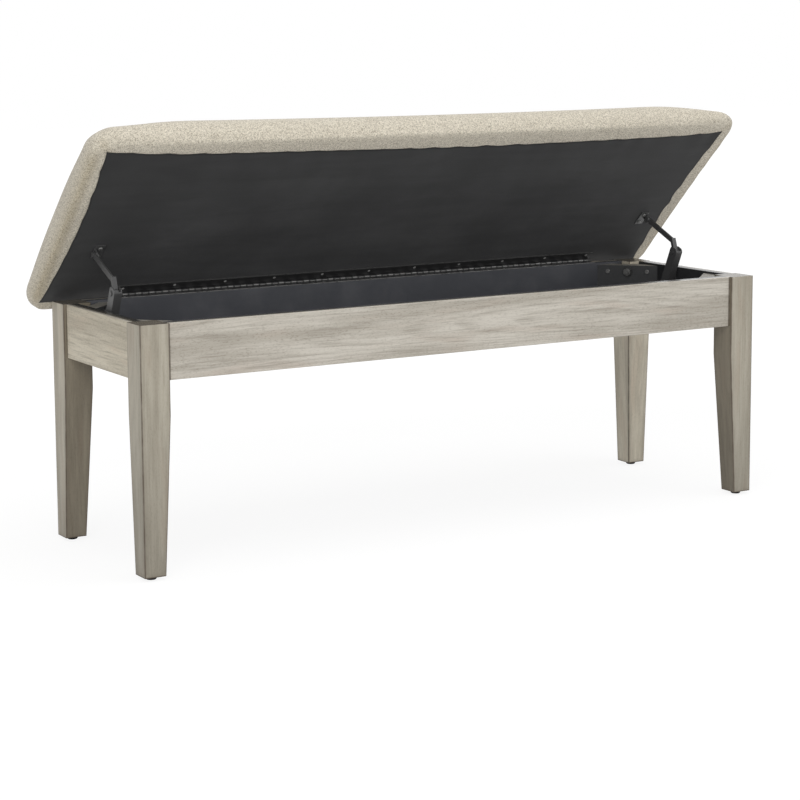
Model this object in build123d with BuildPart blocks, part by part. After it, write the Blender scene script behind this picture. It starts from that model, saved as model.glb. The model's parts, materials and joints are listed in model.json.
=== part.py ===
from build123d import *
from math import acos, atan2, cos, degrees, hypot, radians, sin, sqrt, tan
import os

# Upholstered storage bench, with the lid held open by its two stays.
# Origin: on the floor, at the centre of the four legs. X runs to the right, Y to the back, Z up.
# Sizes are in millimetres and angles in degrees.

# Legs, square above and tapered on their two inner faces
leg_span_y = 358.0
leg_size = 50.0
foot_size = 37.0
leg_arris = 1.5
frame_top = 406.0
taper_drop = 55.0

# Round-headed screws: how far the head's edge is broken, as a share of its height, and the cross in its top
pan_edge_share = 0.4
recess_length = 4.0
recess_width = 0.9
recess_depth = 0.8

# Glides under the legs
glide_height = 6.0
glide_radius = 9.0
glide_edge = 1.5
glide_stem_radius = 2.0
glide_stem_length = 18.0

# Rails between the legs
rail_height = 90.0
rail_thickness = 22.0
rail_setback = 5.0
rail_arris = 1.0

# Corner blocks and their fasteners
block_thickness = 25.0
block_height = 66.0
block_drop = 4.0
block_bolt_edge = 12.0
block_screw_spread = 38.0
bolt_radius = 4.0
bolt_in_leg = 28.0
bolt_past_nut = 3.0
nut_across_flats = 13.0
nut_height = 6.5
washer_radius = 10.0
washer_thickness = 1.6
wood_screw_head_radius = 4.2
wood_screw_head_height = 2.6
wood_screw_shank_radius = 2.0
wood_screw_length = 34.0

# Storage floor on cleats
cleat_size = 12.0
floor_thickness = 4.0
floor_screw_head_radius = 3.5
floor_screw_head_height = 2.0
floor_screw_shank_radius = 1.7
floor_screw_length = 24.0
long_cleat_screws = 5
short_cleat_screws = 2
cleat_screw_edge = 40.0

# Piano hinge along the rear rail
hinge_end_gap = 63.0
hinge_leaf_width = 22.0
hinge_leaf_thickness = 1.2
hinge_offset = 3.0
knuckle_radius = 2.7
knuckle_count = 79
knuckle_gap = 0.3
hinge_pin_radius = 1.3
hinge_barrel_overhang = 3.0
hinge_screw_count = 11
hinge_screw_end = 12.0
hinge_screw_inset = 7.5
hinge_screw_head_radius = 2.6
hinge_screw_shank_radius = 1.5
hinge_screw_length = 14.0
countersink_angle = 45.0

# Lid: how far it is open, and its reach before and behind the hinge pin
lid_open = 44.0
seat_front_reach = 397.0
seat_rear_reach = 43.0
seat_length = 1280.0
seat_end_overhang = 30.0
seat_corner_radius = 45.0
seat_least_corner = 12.0
seat_edge_height = 56.0
seat_crown = 9.0
seat_lower_radius = 16.0
seat_upper_radius = 30.0
seat_side_draw = 5.0
seat_end_draw = 3.0
fabric_thickness = 1.0
fabric_turn_under = 46.0
dust_thickness = 0.6
dust_corner_inset = 22.0
dust_front_inset = 31.0
dust_rear_inset = 31.0
dust_end_bow = 9.0
dust_long_bow = 4.0
board_thickness = 15.0
foam_thickness = 34.0
board_inset = 24.0
board_corner_radius = 22.0

# Lid stays: pivot places are given from the hinge pin, forward and up, with the lid shut for the lid pivot
stay_lid_reach = 123.0
stay_lid_drop = 5.5
stay_base_forward = 145.0
stay_base_drop = 40.5
stay_link_length = 73.0
stay_arm_length = 99.0
stay_gap = 2.6
link_width = 14.0
link_wall = 1.6
link_front = 12.5
link_back = 7.5
link_tail = 12.0
link_nose = 11.0
link_corner = 7.0
arm_thickness = 3.0
arm_width = 10.0
arm_kink_back = 18.0
arm_kink_rise = 14.0
elbow_boss_radius = 7.5
elbow_flange_thickness = 2.0
elbow_flange_margin = 0.7
pivot_pin_radius = 2.5
pivot_head_radius = 4.5
pivot_head_height = 1.5
elbow_play = 2.9
base_pin_radius = 3.0
base_pin_head_radius = 5.5
base_plate_thickness = 2.0
base_plate_width = 40.0
base_plate_height = 52.0
base_plate_corner = 6.0
base_plate_top_drop = 12.0
base_boss_radius = 7.0
base_screw_edge = 8.0
bracket_thickness = 2.0
bracket_width = 17.0
bracket_back = 19.0
bracket_forward = 14.0
bracket_ear_thickness = 2.5
bracket_ear_radius = 6.0
bracket_screw_back = 12.0
bracket_screw_forward = 7.0
stay_screw_head_radius = 3.6
stay_screw_head_height = 2.0
stay_screw_shank_radius = 1.7
stay_screw_length = 12.0

# Clearances
side_clearance = 0.3
fastener_clearance = 0.1
pin_clearance = 0.05
soft_clearance = 0.3

# Places that follow from the sizes above
leg_span_x = seat_length - 2 * seat_end_overhang
leg_x = leg_span_x / 2
leg_y = leg_span_y / 2
rail_bottom = frame_top - rail_height
rail_out_x = leg_x - rail_setback
rail_out_y = leg_y - rail_setback
rail_in_x = rail_out_x - rail_thickness
rail_in_y = rail_out_y - rail_thickness
leg_in_x = leg_x - leg_size
leg_in_y = leg_y - leg_size
taper_top = rail_bottom - taper_drop
hinge_length = 2 * (leg_in_x - hinge_end_gap)
floor_bottom = rail_bottom + cleat_size
hinge_y = rail_out_y + hinge_barrel_overhang
hinge_z = frame_top + hinge_offset
seat_depth = seat_front_reach + seat_rear_reach
seat_mid_y = (seat_rear_reach - seat_front_reach) / 2
seat_base = hinge_offset + dust_thickness
board_bottom = seat_base + fabric_thickness
stay_x = rail_in_x - base_plate_thickness - stay_gap - link_width / 2
ear_x = stay_x - arm_thickness / 2 - side_clearance - bracket_ear_thickness / 2
CORNERS = [
    ("front_left", -1, -1),
    ("front_right", 1, -1),
    ("rear_left", -1, 1),
    ("rear_right", 1, 1),
]
ENDS = [("front", -1), ("rear", 1)]
SIDES = [("left", -1), ("right", 1)]
os.makedirs("parts", exist_ok=True)


def write(piece, name):
    """Labels a finished piece and writes its STEP file."""
    piece.part.label = name
    export_step(piece.part, f"parts/{name}.step")


def pan_screw(head_radius, head_height, shank_radius, length):
    """A cross-headed screw on the Z axis: its head stands on z = 0 and its shank points down."""
    with BuildPart() as screw:
        Cylinder(head_radius, head_height, align=(Align.CENTER, Align.CENTER, Align.MIN))
        chamfer(screw.edges().group_by(Axis.Z)[-1], head_height * pan_edge_share)
        with BuildSketch(Plane.XY.offset(head_height)):
            Rectangle(recess_length, recess_width)
            Rectangle(recess_width, recess_length)
        extrude(amount=-recess_depth, mode=Mode.SUBTRACT)
        Cylinder(shank_radius, length, align=(Align.CENTER, Align.CENTER, Align.MAX))
    return screw.part


# A corner block reaches across the inner corner of two rails, just clear of the leg's own corner
leg_corner_reach = hypot(leg_in_x - rail_in_x, leg_in_y - rail_in_y)
block_back_reach = leg_corner_reach + side_clearance
block_face_reach = block_back_reach + block_thickness
block_top = frame_top - block_drop
block_bottom = block_top - block_height
bolt_heights = [block_top - block_bolt_edge, block_bottom + block_bolt_edge]


def block_plane(side, end):
    """Face of a corner block that looks into the box: x up, y along the face, z out to the leg."""
    face_x = side * (rail_in_x - block_face_reach / sqrt(2))
    face_y = end * (rail_in_y - block_face_reach / sqrt(2))
    return Plane(origin=(face_x, face_y, 0), x_dir=(0, 0, 1), z_dir=(side, end, 0))


bolt_spots = [(height, 0) for height in bolt_heights]
block_screw_spots = [
    (height, along)
    for height in bolt_heights
    for along in (-block_screw_spread, block_screw_spread)
]

# The screws of a cleat stand in a row at mid height of it
long_cleat_length = 2 * (leg_in_x - side_clearance)
short_cleat_length = 2 * (leg_in_y - side_clearance)
long_screw_pitch = (long_cleat_length - 2 * cleat_screw_edge) / (long_cleat_screws - 1)
short_screw_pitch = (short_cleat_length - 2 * cleat_screw_edge) / (short_cleat_screws - 1)
cleat_mid_z = rail_bottom + cleat_size / 2


def long_cleat_plane(end):
    """Inner face of the front or rear cleat: z points into the box."""
    middle = (0, end * (rail_in_y - cleat_size), cleat_mid_z)
    return Plane(origin=middle, x_dir=(1, 0, 0), z_dir=(0, -end, 0))


def short_cleat_plane(side):
    """Inner face of the left or right cleat: z points into the box."""
    middle = (side * (rail_in_x - cleat_size), 0, cleat_mid_z)
    return Plane(origin=middle, x_dir=(0, 1, 0), z_dir=(-side, 0, 0))


hinge_screw_pitch = (hinge_length - 2 * hinge_screw_end) / (hinge_screw_count - 1)
hinge_screw_row = hinge_leaf_width - hinge_screw_inset
lower_screw_plane = Plane(origin=(0, hinge_y - hinge_screw_row, frame_top + hinge_leaf_thickness))

# Stays: the base pivot stands on the end rail's inner face
base_y = hinge_y - stay_base_forward
base_z = hinge_z - stay_base_drop
base_plate_top = frame_top - base_plate_top_drop
base_plate_mid_z = base_plate_top - base_plate_height / 2
base_screw_dy = base_plate_width - 2 * base_screw_edge
base_screw_dz = base_plate_height - 2 * base_screw_edge


def base_plane(side, depth):
    """Upright plane on an end rail's inner face, moved into the box by depth: z points into the box."""
    middle = (side * (rail_in_x - depth), base_y, base_plate_mid_z)
    return Plane(origin=middle, x_dir=(0, 1, 0), z_dir=(-side, 0, 0))


# Rails, with holes for the corner block screws, the cleat screws, the hinge screws and the stay base screws
for end_name, end in ENDS:
    with BuildPart() as long_rail:
        with BuildSketch(Plane.XY.offset(rail_bottom)):
            with Locations((0, end * (rail_out_y - rail_thickness / 2))):
                Rectangle(2 * leg_in_x, rail_thickness)
        extrude(amount=rail_height)
        fillet(long_rail.edges().filter_by(Axis.X), rail_arris)
        for side_name, side in SIDES:
            with BuildSketch(block_plane(side, end)):
                with Locations(*block_screw_spots):
                    Circle(wood_screw_shank_radius + fastener_clearance)
            extrude(amount=wood_screw_length, mode=Mode.SUBTRACT)
        with BuildSketch(long_cleat_plane(end)):
            with GridLocations(long_screw_pitch, 0, long_cleat_screws, 1):
                Circle(floor_screw_shank_radius + fastener_clearance)
        extrude(amount=-floor_screw_length, mode=Mode.SUBTRACT)
        if end_name == "rear":
            with BuildSketch(lower_screw_plane):
                with GridLocations(hinge_screw_pitch, 0, hinge_screw_count, 1):
                    Circle(hinge_screw_shank_radius + fastener_clearance)
            extrude(amount=-hinge_screw_length, mode=Mode.SUBTRACT)
    write(long_rail, f"{end_name}_rail")

for side_name, side in SIDES:
    with BuildPart() as end_rail:
        with BuildSketch(Plane.XY.offset(rail_bottom)):
            with Locations((side * (rail_out_x - rail_thickness / 2), 0)):
                Rectangle(rail_thickness, 2 * leg_in_y)
        extrude(amount=rail_height)
        fillet(end_rail.edges().filter_by(Axis.Y), rail_arris)
        for end_name, end in ENDS:
            with BuildSketch(block_plane(side, end)):
                with Locations(*block_screw_spots):
                    Circle(wood_screw_shank_radius + fastener_clearance)
            extrude(amount=wood_screw_length, mode=Mode.SUBTRACT)
        with BuildSketch(short_cleat_plane(side)):
            with GridLocations(short_screw_pitch, 0, short_cleat_screws, 1):
                Circle(floor_screw_shank_radius + fastener_clearance)
        extrude(amount=-floor_screw_length, mode=Mode.SUBTRACT)
        with BuildSketch(base_plane(side, base_plate_thickness)):
            with GridLocations(base_screw_dy, base_screw_dz, 2, 2):
                Circle(stay_screw_shank_radius + fastener_clearance)
        extrude(amount=-stay_screw_length, mode=Mode.SUBTRACT)
    write(end_rail, f"{side_name}_end_rail")

# Legs: the outer faces are upright, the inner ones taper, with holes for the glide and the hanger bolts
for corner_name, side, end in CORNERS:
    square_centre = (side * (leg_x - leg_size / 2), end * (leg_y - leg_size / 2))
    foot_centre = (side * (leg_x - foot_size / 2), end * (leg_y - foot_size / 2))
    with BuildPart() as leg:
        with BuildSketch(Plane.XY.offset(taper_top)):
            with Locations(square_centre):
                RectangleRounded(leg_size, leg_size, leg_arris)
        extrude(amount=frame_top - taper_top)
        with BuildSketch(Plane.XY.offset(taper_top)):
            with Locations(square_centre):
                RectangleRounded(leg_size, leg_size, leg_arris)
        with BuildSketch(Plane.XY.offset(glide_height)):
            with Locations(foot_centre):
                RectangleRounded(foot_size, foot_size, leg_arris)
        loft()
        with BuildSketch(block_plane(side, end)):
            with Locations(*bolt_spots):
                Circle(bolt_radius + fastener_clearance)
        extrude(amount=block_thickness + side_clearance + bolt_in_leg, mode=Mode.SUBTRACT)
        with BuildSketch(Plane.XY.offset(glide_height)):
            with Locations(foot_centre):
                Circle(glide_stem_radius + fastener_clearance)
        extrude(amount=glide_stem_length, mode=Mode.SUBTRACT)
    write(leg, f"{corner_name}_leg")

with BuildPart() as glide:
    Cylinder(glide_radius, glide_height, align=(Align.CENTER, Align.CENTER, Align.MIN))
    chamfer(glide.edges().group_by(Axis.Z)[0], glide_edge)
    with Locations((0, 0, glide_height)):
        Cylinder(glide_stem_radius, glide_stem_length, align=(Align.CENTER, Align.CENTER, Align.MIN))
with BuildPart() as leg_glides:
    with GridLocations(leg_span_x - foot_size, leg_span_y - foot_size, 2, 2):
        add(glide.part)
write(leg_glides, "leg_glides")

# Corner blocks
for corner_name, side, end in CORNERS:
    face_run = block_face_reach * sqrt(2)
    back_run = block_back_reach * sqrt(2)
    with BuildPart() as block:
        with BuildSketch(Plane.XY.offset(block_bottom)):
            with BuildLine():
                Polyline(
                    (side * (rail_in_x - face_run), end * rail_in_y),
                    (side * rail_in_x, end * (rail_in_y - face_run)),
                    (side * rail_in_x, end * (rail_in_y - back_run)),
                    (side * (rail_in_x - back_run), end * rail_in_y),
                    close=True,
                )
            make_face()
        extrude(amount=block_height)
        with BuildSketch(block_plane(side, end)):
            with Locations(*bolt_spots):
                Circle(bolt_radius + fastener_clearance)
            with Locations(*block_screw_spots):
                Circle(wood_screw_shank_radius + fastener_clearance)
        extrude(amount=block_thickness, mode=Mode.SUBTRACT)
    write(block, f"{corner_name}_corner_block")

# Hanger bolts run from inside the legs through the blocks, each with a washer and a nut
bolt_stick_out = washer_thickness + nut_height + bolt_past_nut
with BuildPart() as hanger_bolts:
    for corner_name, side, end in CORNERS:
        with BuildSketch(block_plane(side, end).offset(-bolt_stick_out)):
            with Locations(*bolt_spots):
                Circle(bolt_radius)
        extrude(amount=bolt_stick_out + block_thickness + side_clearance + bolt_in_leg)
write(hanger_bolts, "hanger_bolts")
with BuildPart() as hanger_washers:
    for corner_name, side, end in CORNERS:
        with BuildSketch(block_plane(side, end)):
            with Locations(*bolt_spots):
                Circle(washer_radius)
                Circle(bolt_radius + fastener_clearance, mode=Mode.SUBTRACT)
        extrude(amount=-washer_thickness)
write(hanger_washers, "hanger_washers")
with BuildPart() as hanger_nuts:
    for corner_name, side, end in CORNERS:
        with BuildSketch(block_plane(side, end).offset(-washer_thickness)):
            with Locations(*bolt_spots):
                RegularPolygon(nut_across_flats / 2, 6, major_radius=False)
                Circle(bolt_radius + pin_clearance, mode=Mode.SUBTRACT)
        extrude(amount=-nut_height)
write(hanger_nuts, "hanger_nuts")

block_screw = pan_screw(
    wood_screw_head_radius, wood_screw_head_height, wood_screw_shank_radius, wood_screw_length
)
with BuildPart() as corner_block_screws:
    for corner_name, side, end in CORNERS:
        face = block_plane(side, end)
        inward = [
            Plane(origin=face.from_local_coords((height, along, 0)), x_dir=(0, 0, 1), z_dir=(-side, -end, 0))
            for height, along in block_screw_spots
        ]
        with Locations(*inward):
            add(block_screw)
write(corner_block_screws, "corner_block_screws")

# Storage floor, notched round the legs, on four cleats
leg_notch = leg_size - rail_setback - rail_thickness + side_clearance
with BuildPart() as floor_panel:
    with BuildSketch(Plane.XY.offset(floor_bottom)):
        Rectangle(2 * (rail_in_x - side_clearance), 2 * (rail_in_y - side_clearance))
        with GridLocations(2 * rail_in_x - leg_notch, 2 * rail_in_y - leg_notch, 2, 2):
            Rectangle(leg_notch, leg_notch, mode=Mode.SUBTRACT)
    extrude(amount=floor_thickness)
write(floor_panel, "floor_panel")
for end_name, end in ENDS:
    with BuildPart() as long_cleat:
        with BuildSketch(Plane.XY.offset(rail_bottom)):
            with Locations((0, end * (rail_in_y - cleat_size / 2))):
                Rectangle(long_cleat_length, cleat_size)
        extrude(amount=cleat_size)
        with BuildSketch(long_cleat_plane(end)):
            with GridLocations(long_screw_pitch, 0, long_cleat_screws, 1):
                Circle(floor_screw_shank_radius + fastener_clearance)
        extrude(amount=-cleat_size, mode=Mode.SUBTRACT)
    write(long_cleat, f"{end_name}_floor_cleat")
for side_name, side in SIDES:
    with BuildPart() as short_cleat:
        with BuildSketch(Plane.XY.offset(rail_bottom)):
            with Locations((side * (rail_in_x - cleat_size / 2), 0)):
                Rectangle(cleat_size, short_cleat_length)
        extrude(amount=cleat_size)
        with BuildSketch(short_cleat_plane(side)):
            with GridLocations(short_screw_pitch, 0, short_cleat_screws, 1):
                Circle(floor_screw_shank_radius + fastener_clearance)
        extrude(amount=-cleat_size, mode=Mode.SUBTRACT)
    write(short_cleat, f"{side_name}_floor_cleat")
cleat_screw = pan_screw(
    floor_screw_head_radius, floor_screw_head_height, floor_screw_shank_radius, floor_screw_length
)
with BuildPart() as cleat_screws:
    for end_name, end in ENDS:
        row = [
            Plane(origin=long_cleat_plane(end).from_local_coords(spot.position), z_dir=(0, -end, 0))
            for spot in GridLocations(long_screw_pitch, 0, long_cleat_screws, 1)
        ]
        with Locations(*row):
            add(cleat_screw)
    for side_name, side in SIDES:
        row = [
            Plane(origin=short_cleat_plane(side).from_local_coords(spot.position), z_dir=(-side, 0, 0))
            for spot in GridLocations(short_screw_pitch, 0, short_cleat_screws, 1)
        ]
        with Locations(*row):
            add(cleat_screw)
write(cleat_screws, "cleat_screws")

# The lid is drawn on a plane through the hinge pin: x along the bench, y to its rear edge, z out of its top
open_sin = sin(radians(lid_open))
open_cos = cos(radians(lid_open))
lid_plane = Plane(origin=(0, hinge_y, hinge_z), x_dir=(1, 0, 0), z_dir=(0, open_sin, open_cos))
frame_plane = Plane(origin=(0, hinge_y, hinge_z))
seat_plane = Plane(
    origin=lid_plane.from_local_coords((0, seat_mid_y, 0)), x_dir=(1, 0, 0), z_dir=lid_plane.z_dir
)

# Piano hinge: each leaf is a plate with every other knuckle, rolled round the pin
knuckle_pitch = hinge_length / knuckle_count
knuckle_first = -hinge_length / 2 + knuckle_pitch / 2


def knuckle_places(first):
    """Middle of every other knuckle along the hinge, beginning with number first."""
    return [knuckle_first + knuckle_pitch * count for count in range(first, knuckle_count, 2)]


def hinge_leaf(plane, face, first):
    """One leaf: face is -1 when its plate lies below the pin and 1 when it lies above."""
    plate_z = face * (hinge_offset - hinge_leaf_thickness / 2)
    profile_plane = Plane(origin=plane.origin, x_dir=plane.y_dir, z_dir=plane.x_dir)
    with BuildPart() as leaf:
        with BuildSketch(profile_plane.offset(-hinge_length / 2)):
            Circle(knuckle_radius)
            with Locations((-hinge_leaf_width / 2, plate_z)):
                Rectangle(hinge_leaf_width, hinge_leaf_thickness)
            Circle(hinge_pin_radius + pin_clearance, mode=Mode.SUBTRACT)
        extrude(amount=hinge_length)
        with BuildSketch(plane):
            with Locations(*[(middle, 0) for middle in knuckle_places(1 - first)]):
                Rectangle(knuckle_pitch + knuckle_gap, 2 * (knuckle_radius + side_clearance))
        extrude(amount=2 * hinge_offset, both=True, mode=Mode.SUBTRACT)
        screw_plane = plane.offset(face * (hinge_offset - hinge_leaf_thickness))
        with BuildSketch(screw_plane):
            with Locations((0, -hinge_screw_row)):
                with GridLocations(hinge_screw_pitch, 0, hinge_screw_count, 1):
                    Circle(hinge_screw_head_radius + pin_clearance)
        extrude(amount=face * hinge_leaf_thickness, taper=countersink_angle, mode=Mode.SUBTRACT)
        with BuildSketch(screw_plane):
            with Locations((0, -hinge_screw_row)):
                with GridLocations(hinge_screw_pitch, 0, hinge_screw_count, 1):
                    Circle(hinge_screw_shank_radius + fastener_clearance)
        extrude(amount=face * hinge_leaf_thickness, mode=Mode.SUBTRACT)
    return leaf


lower_leaf = hinge_leaf(frame_plane, -1, 0)
write(lower_leaf, "hinge_lower_leaf")
upper_leaf = hinge_leaf(lid_plane, 1, 1)
write(upper_leaf, "hinge_upper_leaf")
with BuildPart() as hinge_pin:
    with BuildSketch(Plane(origin=(0, hinge_y, hinge_z), x_dir=(0, 1, 0), z_dir=(1, 0, 0))):
        Circle(hinge_pin_radius)
    extrude(amount=hinge_length / 2, both=True)
write(hinge_pin, "hinge_pin")

hinge_head_depth = (hinge_screw_head_radius - hinge_screw_shank_radius) / tan(radians(countersink_angle))
with BuildPart() as hinge_screw:
    Cone(
        hinge_screw_shank_radius,
        hinge_screw_head_radius,
        hinge_head_depth,
        align=(Align.CENTER, Align.CENTER, Align.MAX),
    )
    Cylinder(hinge_screw_shank_radius, hinge_screw_length, align=(Align.CENTER, Align.CENTER, Align.MAX))
hinge_screw_x = [spot.position.X for spot in GridLocations(hinge_screw_pitch, 0, hinge_screw_count, 1)]
with BuildPart() as hinge_lower_screws:
    with Locations(*[lower_screw_plane.from_local_coords((x, 0, 0)) for x in hinge_screw_x]):
        add(hinge_screw.part)
write(hinge_lower_screws, "hinge_lower_screws")
upper_screw_z = hinge_offset - hinge_leaf_thickness
upper_screw_planes = [
    Plane(
        origin=lid_plane.from_local_coords((x, -hinge_screw_row, upper_screw_z)),
        x_dir=(1, 0, 0),
        z_dir=-lid_plane.z_dir,
    )
    for x in hinge_screw_x
]
with BuildPart() as hinge_upper_screws:
    with Locations(*upper_screw_planes):
        add(hinge_screw.part)
write(hinge_upper_screws, "hinge_upper_screws")

# Brackets that hold the stay arms under the lid
bracket_low = hinge_offset - bracket_thickness
bracket_outer_x = ear_x + bracket_ear_thickness / 2
bracket_screw_x = bracket_outer_x - bracket_width / 2 - bracket_ear_thickness / 2
bracket_screw_reaches = [stay_lid_reach - bracket_screw_back, stay_lid_reach + bracket_screw_forward]
bracket_screw_spots = [
    (side * bracket_screw_x, -reach) for side_name, side in SIDES for reach in bracket_screw_reaches
]


def lid_layer(side, x):
    """Upright plane across the lid, x from the middle: its x runs to the lid's front, its y out of the top."""
    return Plane(origin=(side * x, hinge_y, hinge_z), x_dir=-lid_plane.y_dir, z_dir=(-1, 0, 0))


for side_name, side in SIDES:
    with BuildPart() as lid_bracket:
        with BuildSketch(lid_layer(side, ear_x)):
            with Locations((stay_lid_reach, -stay_lid_drop)):
                Circle(bracket_ear_radius)
            ear_rise = hinge_offset + stay_lid_drop
            with Locations((stay_lid_reach, hinge_offset - ear_rise / 2)):
                Rectangle(2 * bracket_ear_radius, ear_rise)
            with Locations((stay_lid_reach, -stay_lid_drop)):
                Circle(pivot_pin_radius + pin_clearance, mode=Mode.SUBTRACT)
        extrude(amount=bracket_ear_thickness / 2, both=True)
        with BuildSketch(lid_layer(side, bracket_outer_x - bracket_width / 2)):
            plate_mid = stay_lid_reach + (bracket_forward - bracket_back) / 2
            with Locations((plate_mid, hinge_offset - bracket_thickness / 2)):
                Rectangle(bracket_back + bracket_forward, bracket_thickness)
        extrude(amount=bracket_width / 2, both=True)
        with BuildSketch(lid_plane.offset(bracket_low)):
            with Locations(*bracket_screw_spots):
                Circle(stay_screw_shank_radius + fastener_clearance)
        extrude(amount=bracket_thickness, mode=Mode.SUBTRACT)
    write(lid_bracket, f"{side_name}_lid_bracket")
    with BuildPart() as lid_pivot_pin:
        pin_half = (bracket_ear_thickness + side_clearance + arm_thickness + side_clearance) / 2
        pin_mid_x = bracket_outer_x - bracket_ear_thickness + pin_half
        with BuildSketch(lid_layer(side, pin_mid_x)):
            with Locations((stay_lid_reach, -stay_lid_drop)):
                Circle(pivot_pin_radius)
        extrude(amount=pin_half, both=True)
        for outward in (-1, 1):
            with BuildSketch(lid_layer(side, pin_mid_x + outward * (pin_half + pivot_head_height / 2))):
                with Locations((stay_lid_reach, -stay_lid_drop)):
                    Circle(pivot_head_radius)
            extrude(amount=pivot_head_height / 2, both=True)
    write(lid_pivot_pin, f"{side_name}_lid_pivot_pin")

stay_screw = pan_screw(
    stay_screw_head_radius, stay_screw_head_height, stay_screw_shank_radius, stay_screw_length
)
lid_bracket_screw_planes = [
    Plane(
        origin=lid_plane.from_local_coords((x, y, bracket_low)),
        x_dir=(1, 0, 0),
        z_dir=-lid_plane.z_dir,
    )
    for x, y in bracket_screw_spots
]
with BuildPart() as lid_bracket_screws:
    with Locations(*lid_bracket_screw_planes):
        add(stay_screw)
write(lid_bracket_screws, "lid_bracket_screws")

# Lid board, drilled for the hinge and bracket screws
with BuildPart() as lid_board:
    with BuildSketch(seat_plane.offset(board_bottom)):
        RectangleRounded(
            seat_length - 2 * board_inset, seat_depth - 2 * board_inset, board_corner_radius
        )
    extrude(amount=board_thickness)
    with BuildSketch(lid_plane.offset(upper_screw_z)):
        with Locations((0, -hinge_screw_row)):
            with GridLocations(hinge_screw_pitch, 0, hinge_screw_count, 1):
                Circle(hinge_screw_shank_radius + fastener_clearance)
    extrude(amount=hinge_screw_length, mode=Mode.SUBTRACT)
    with BuildSketch(lid_plane.offset(bracket_low)):
        with Locations(*bracket_screw_spots):
            Circle(stay_screw_shank_radius + fastener_clearance)
    extrude(amount=stay_screw_length, mode=Mode.SUBTRACT)
write(lid_board, "lid_board")

# Dust cover: a thin cloth whose edges are drawn in between its corners
dust_half_x = seat_length / 2 - dust_corner_inset
dust_front_y = -seat_front_reach + dust_front_inset
dust_rear_y = seat_rear_reach - dust_rear_inset
dust_mid_y = (dust_front_y + dust_rear_y) / 2
with BuildPart() as dust_cover:
    with BuildSketch(lid_plane.offset(hinge_offset)):
        with BuildLine():
            for edge_y, bow in ((dust_front_y, dust_long_bow), (dust_rear_y, -dust_long_bow)):
                ThreePointArc((-dust_half_x, edge_y), (0, edge_y + bow), (dust_half_x, edge_y))
            for side_name, side in SIDES:
                ThreePointArc(
                    (side * dust_half_x, dust_front_y),
                    (side * (dust_half_x - dust_end_bow), dust_mid_y),
                    (side * dust_half_x, dust_rear_y),
                )
        make_face()
        with Locations((0, -hinge_screw_row)):
            with GridLocations(hinge_screw_pitch, 0, hinge_screw_count, 1):
                Circle(hinge_screw_shank_radius + fastener_clearance, mode=Mode.SUBTRACT)
        with Locations(*bracket_screw_spots):
            Circle(stay_screw_shank_radius + fastener_clearance, mode=Mode.SUBTRACT)
    extrude(amount=dust_thickness)
write(dust_cover, "dust_cover")

# Fabric with its batting: a crowned form with rolled edges and drawn-in sides, over a foam slab on the board
LOWER_ROLL = [0, 30, 60, 90]
UPPER_ROLL = [0, 20, 40, 60, 78]
CROWN_STEPS = [0.15, 0.35, 0.6, 0.85]


def seat_profile():
    """Inset from the seat's outline and height above the hinge pin, from the underside to the crown.

    The lower edge is an arc, the upper edge a larger one, and the crown a parabola up to the middle.
    """
    lower_mid = seat_base + seat_lower_radius
    upper_mid = seat_base + seat_edge_height - seat_upper_radius
    rows = [
        (
            seat_lower_radius * (1 - sin(radians(turn))),
            lower_mid - seat_lower_radius * cos(radians(turn)),
        )
        for turn in LOWER_ROLL
    ]
    rows += [
        (
            seat_upper_radius * (1 - cos(radians(turn))),
            upper_mid + seat_upper_radius * sin(radians(turn)),
        )
        for turn in UPPER_ROLL
    ]
    edge_inset, edge_height = rows[-1]
    rise = seat_base + seat_edge_height + seat_crown - edge_height
    run = seat_depth / 2 - edge_inset
    rows += [
        (edge_inset + run * step, edge_height + rise * (1 - (1 - step) ** 2)) for step in CROWN_STEPS
    ]
    return rows


with BuildPart() as seat_cover:
    for inset, height in seat_profile():
        half_x = seat_length / 2 - inset
        half_y = seat_depth / 2 - inset
        corner = max(seat_corner_radius - inset, seat_least_corner)
        arc = corner * (1 - sqrt(0.5))
        run_x = half_x - corner
        run_y = half_y - corner
        with BuildSketch(seat_plane.offset(height)):
            with BuildLine():
                for side_name, side in SIDES:
                    ThreePointArc(
                        (side * half_x, -run_y), (side * (half_x - seat_end_draw), 0), (side * half_x, run_y)
                    )
                for end_name, end in ENDS:
                    ThreePointArc(
                        (-run_x, end * half_y), (0, end * (half_y - seat_side_draw)), (run_x, end * half_y)
                    )
                for corner_name, side, end in CORNERS:
                    ThreePointArc(
                        (side * half_x, end * run_y),
                        (side * (half_x - arc), end * (half_y - arc)),
                        (side * run_x, end * half_y),
                    )
            make_face()
    loft(ruled=True)
    with BuildSketch(seat_plane.offset(board_bottom)):
        RectangleRounded(
            seat_length - 2 * (board_inset - soft_clearance),
            seat_depth - 2 * (board_inset - soft_clearance),
            board_corner_radius + soft_clearance,
        )
    extrude(amount=board_thickness + foam_thickness + soft_clearance, mode=Mode.SUBTRACT)
    with BuildSketch(seat_plane.offset(seat_base)):
        Rectangle(seat_length - 2 * fabric_turn_under, seat_depth - 2 * fabric_turn_under)
    extrude(amount=fabric_thickness, mode=Mode.SUBTRACT)
write(seat_cover, "seat_cover")
with BuildPart() as seat_foam:
    with BuildSketch(seat_plane.offset(board_bottom + board_thickness)):
        RectangleRounded(
            seat_length - 2 * board_inset, seat_depth - 2 * board_inset, board_corner_radius
        )
    extrude(amount=foam_thickness)
write(seat_foam, "seat_foam")

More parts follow.
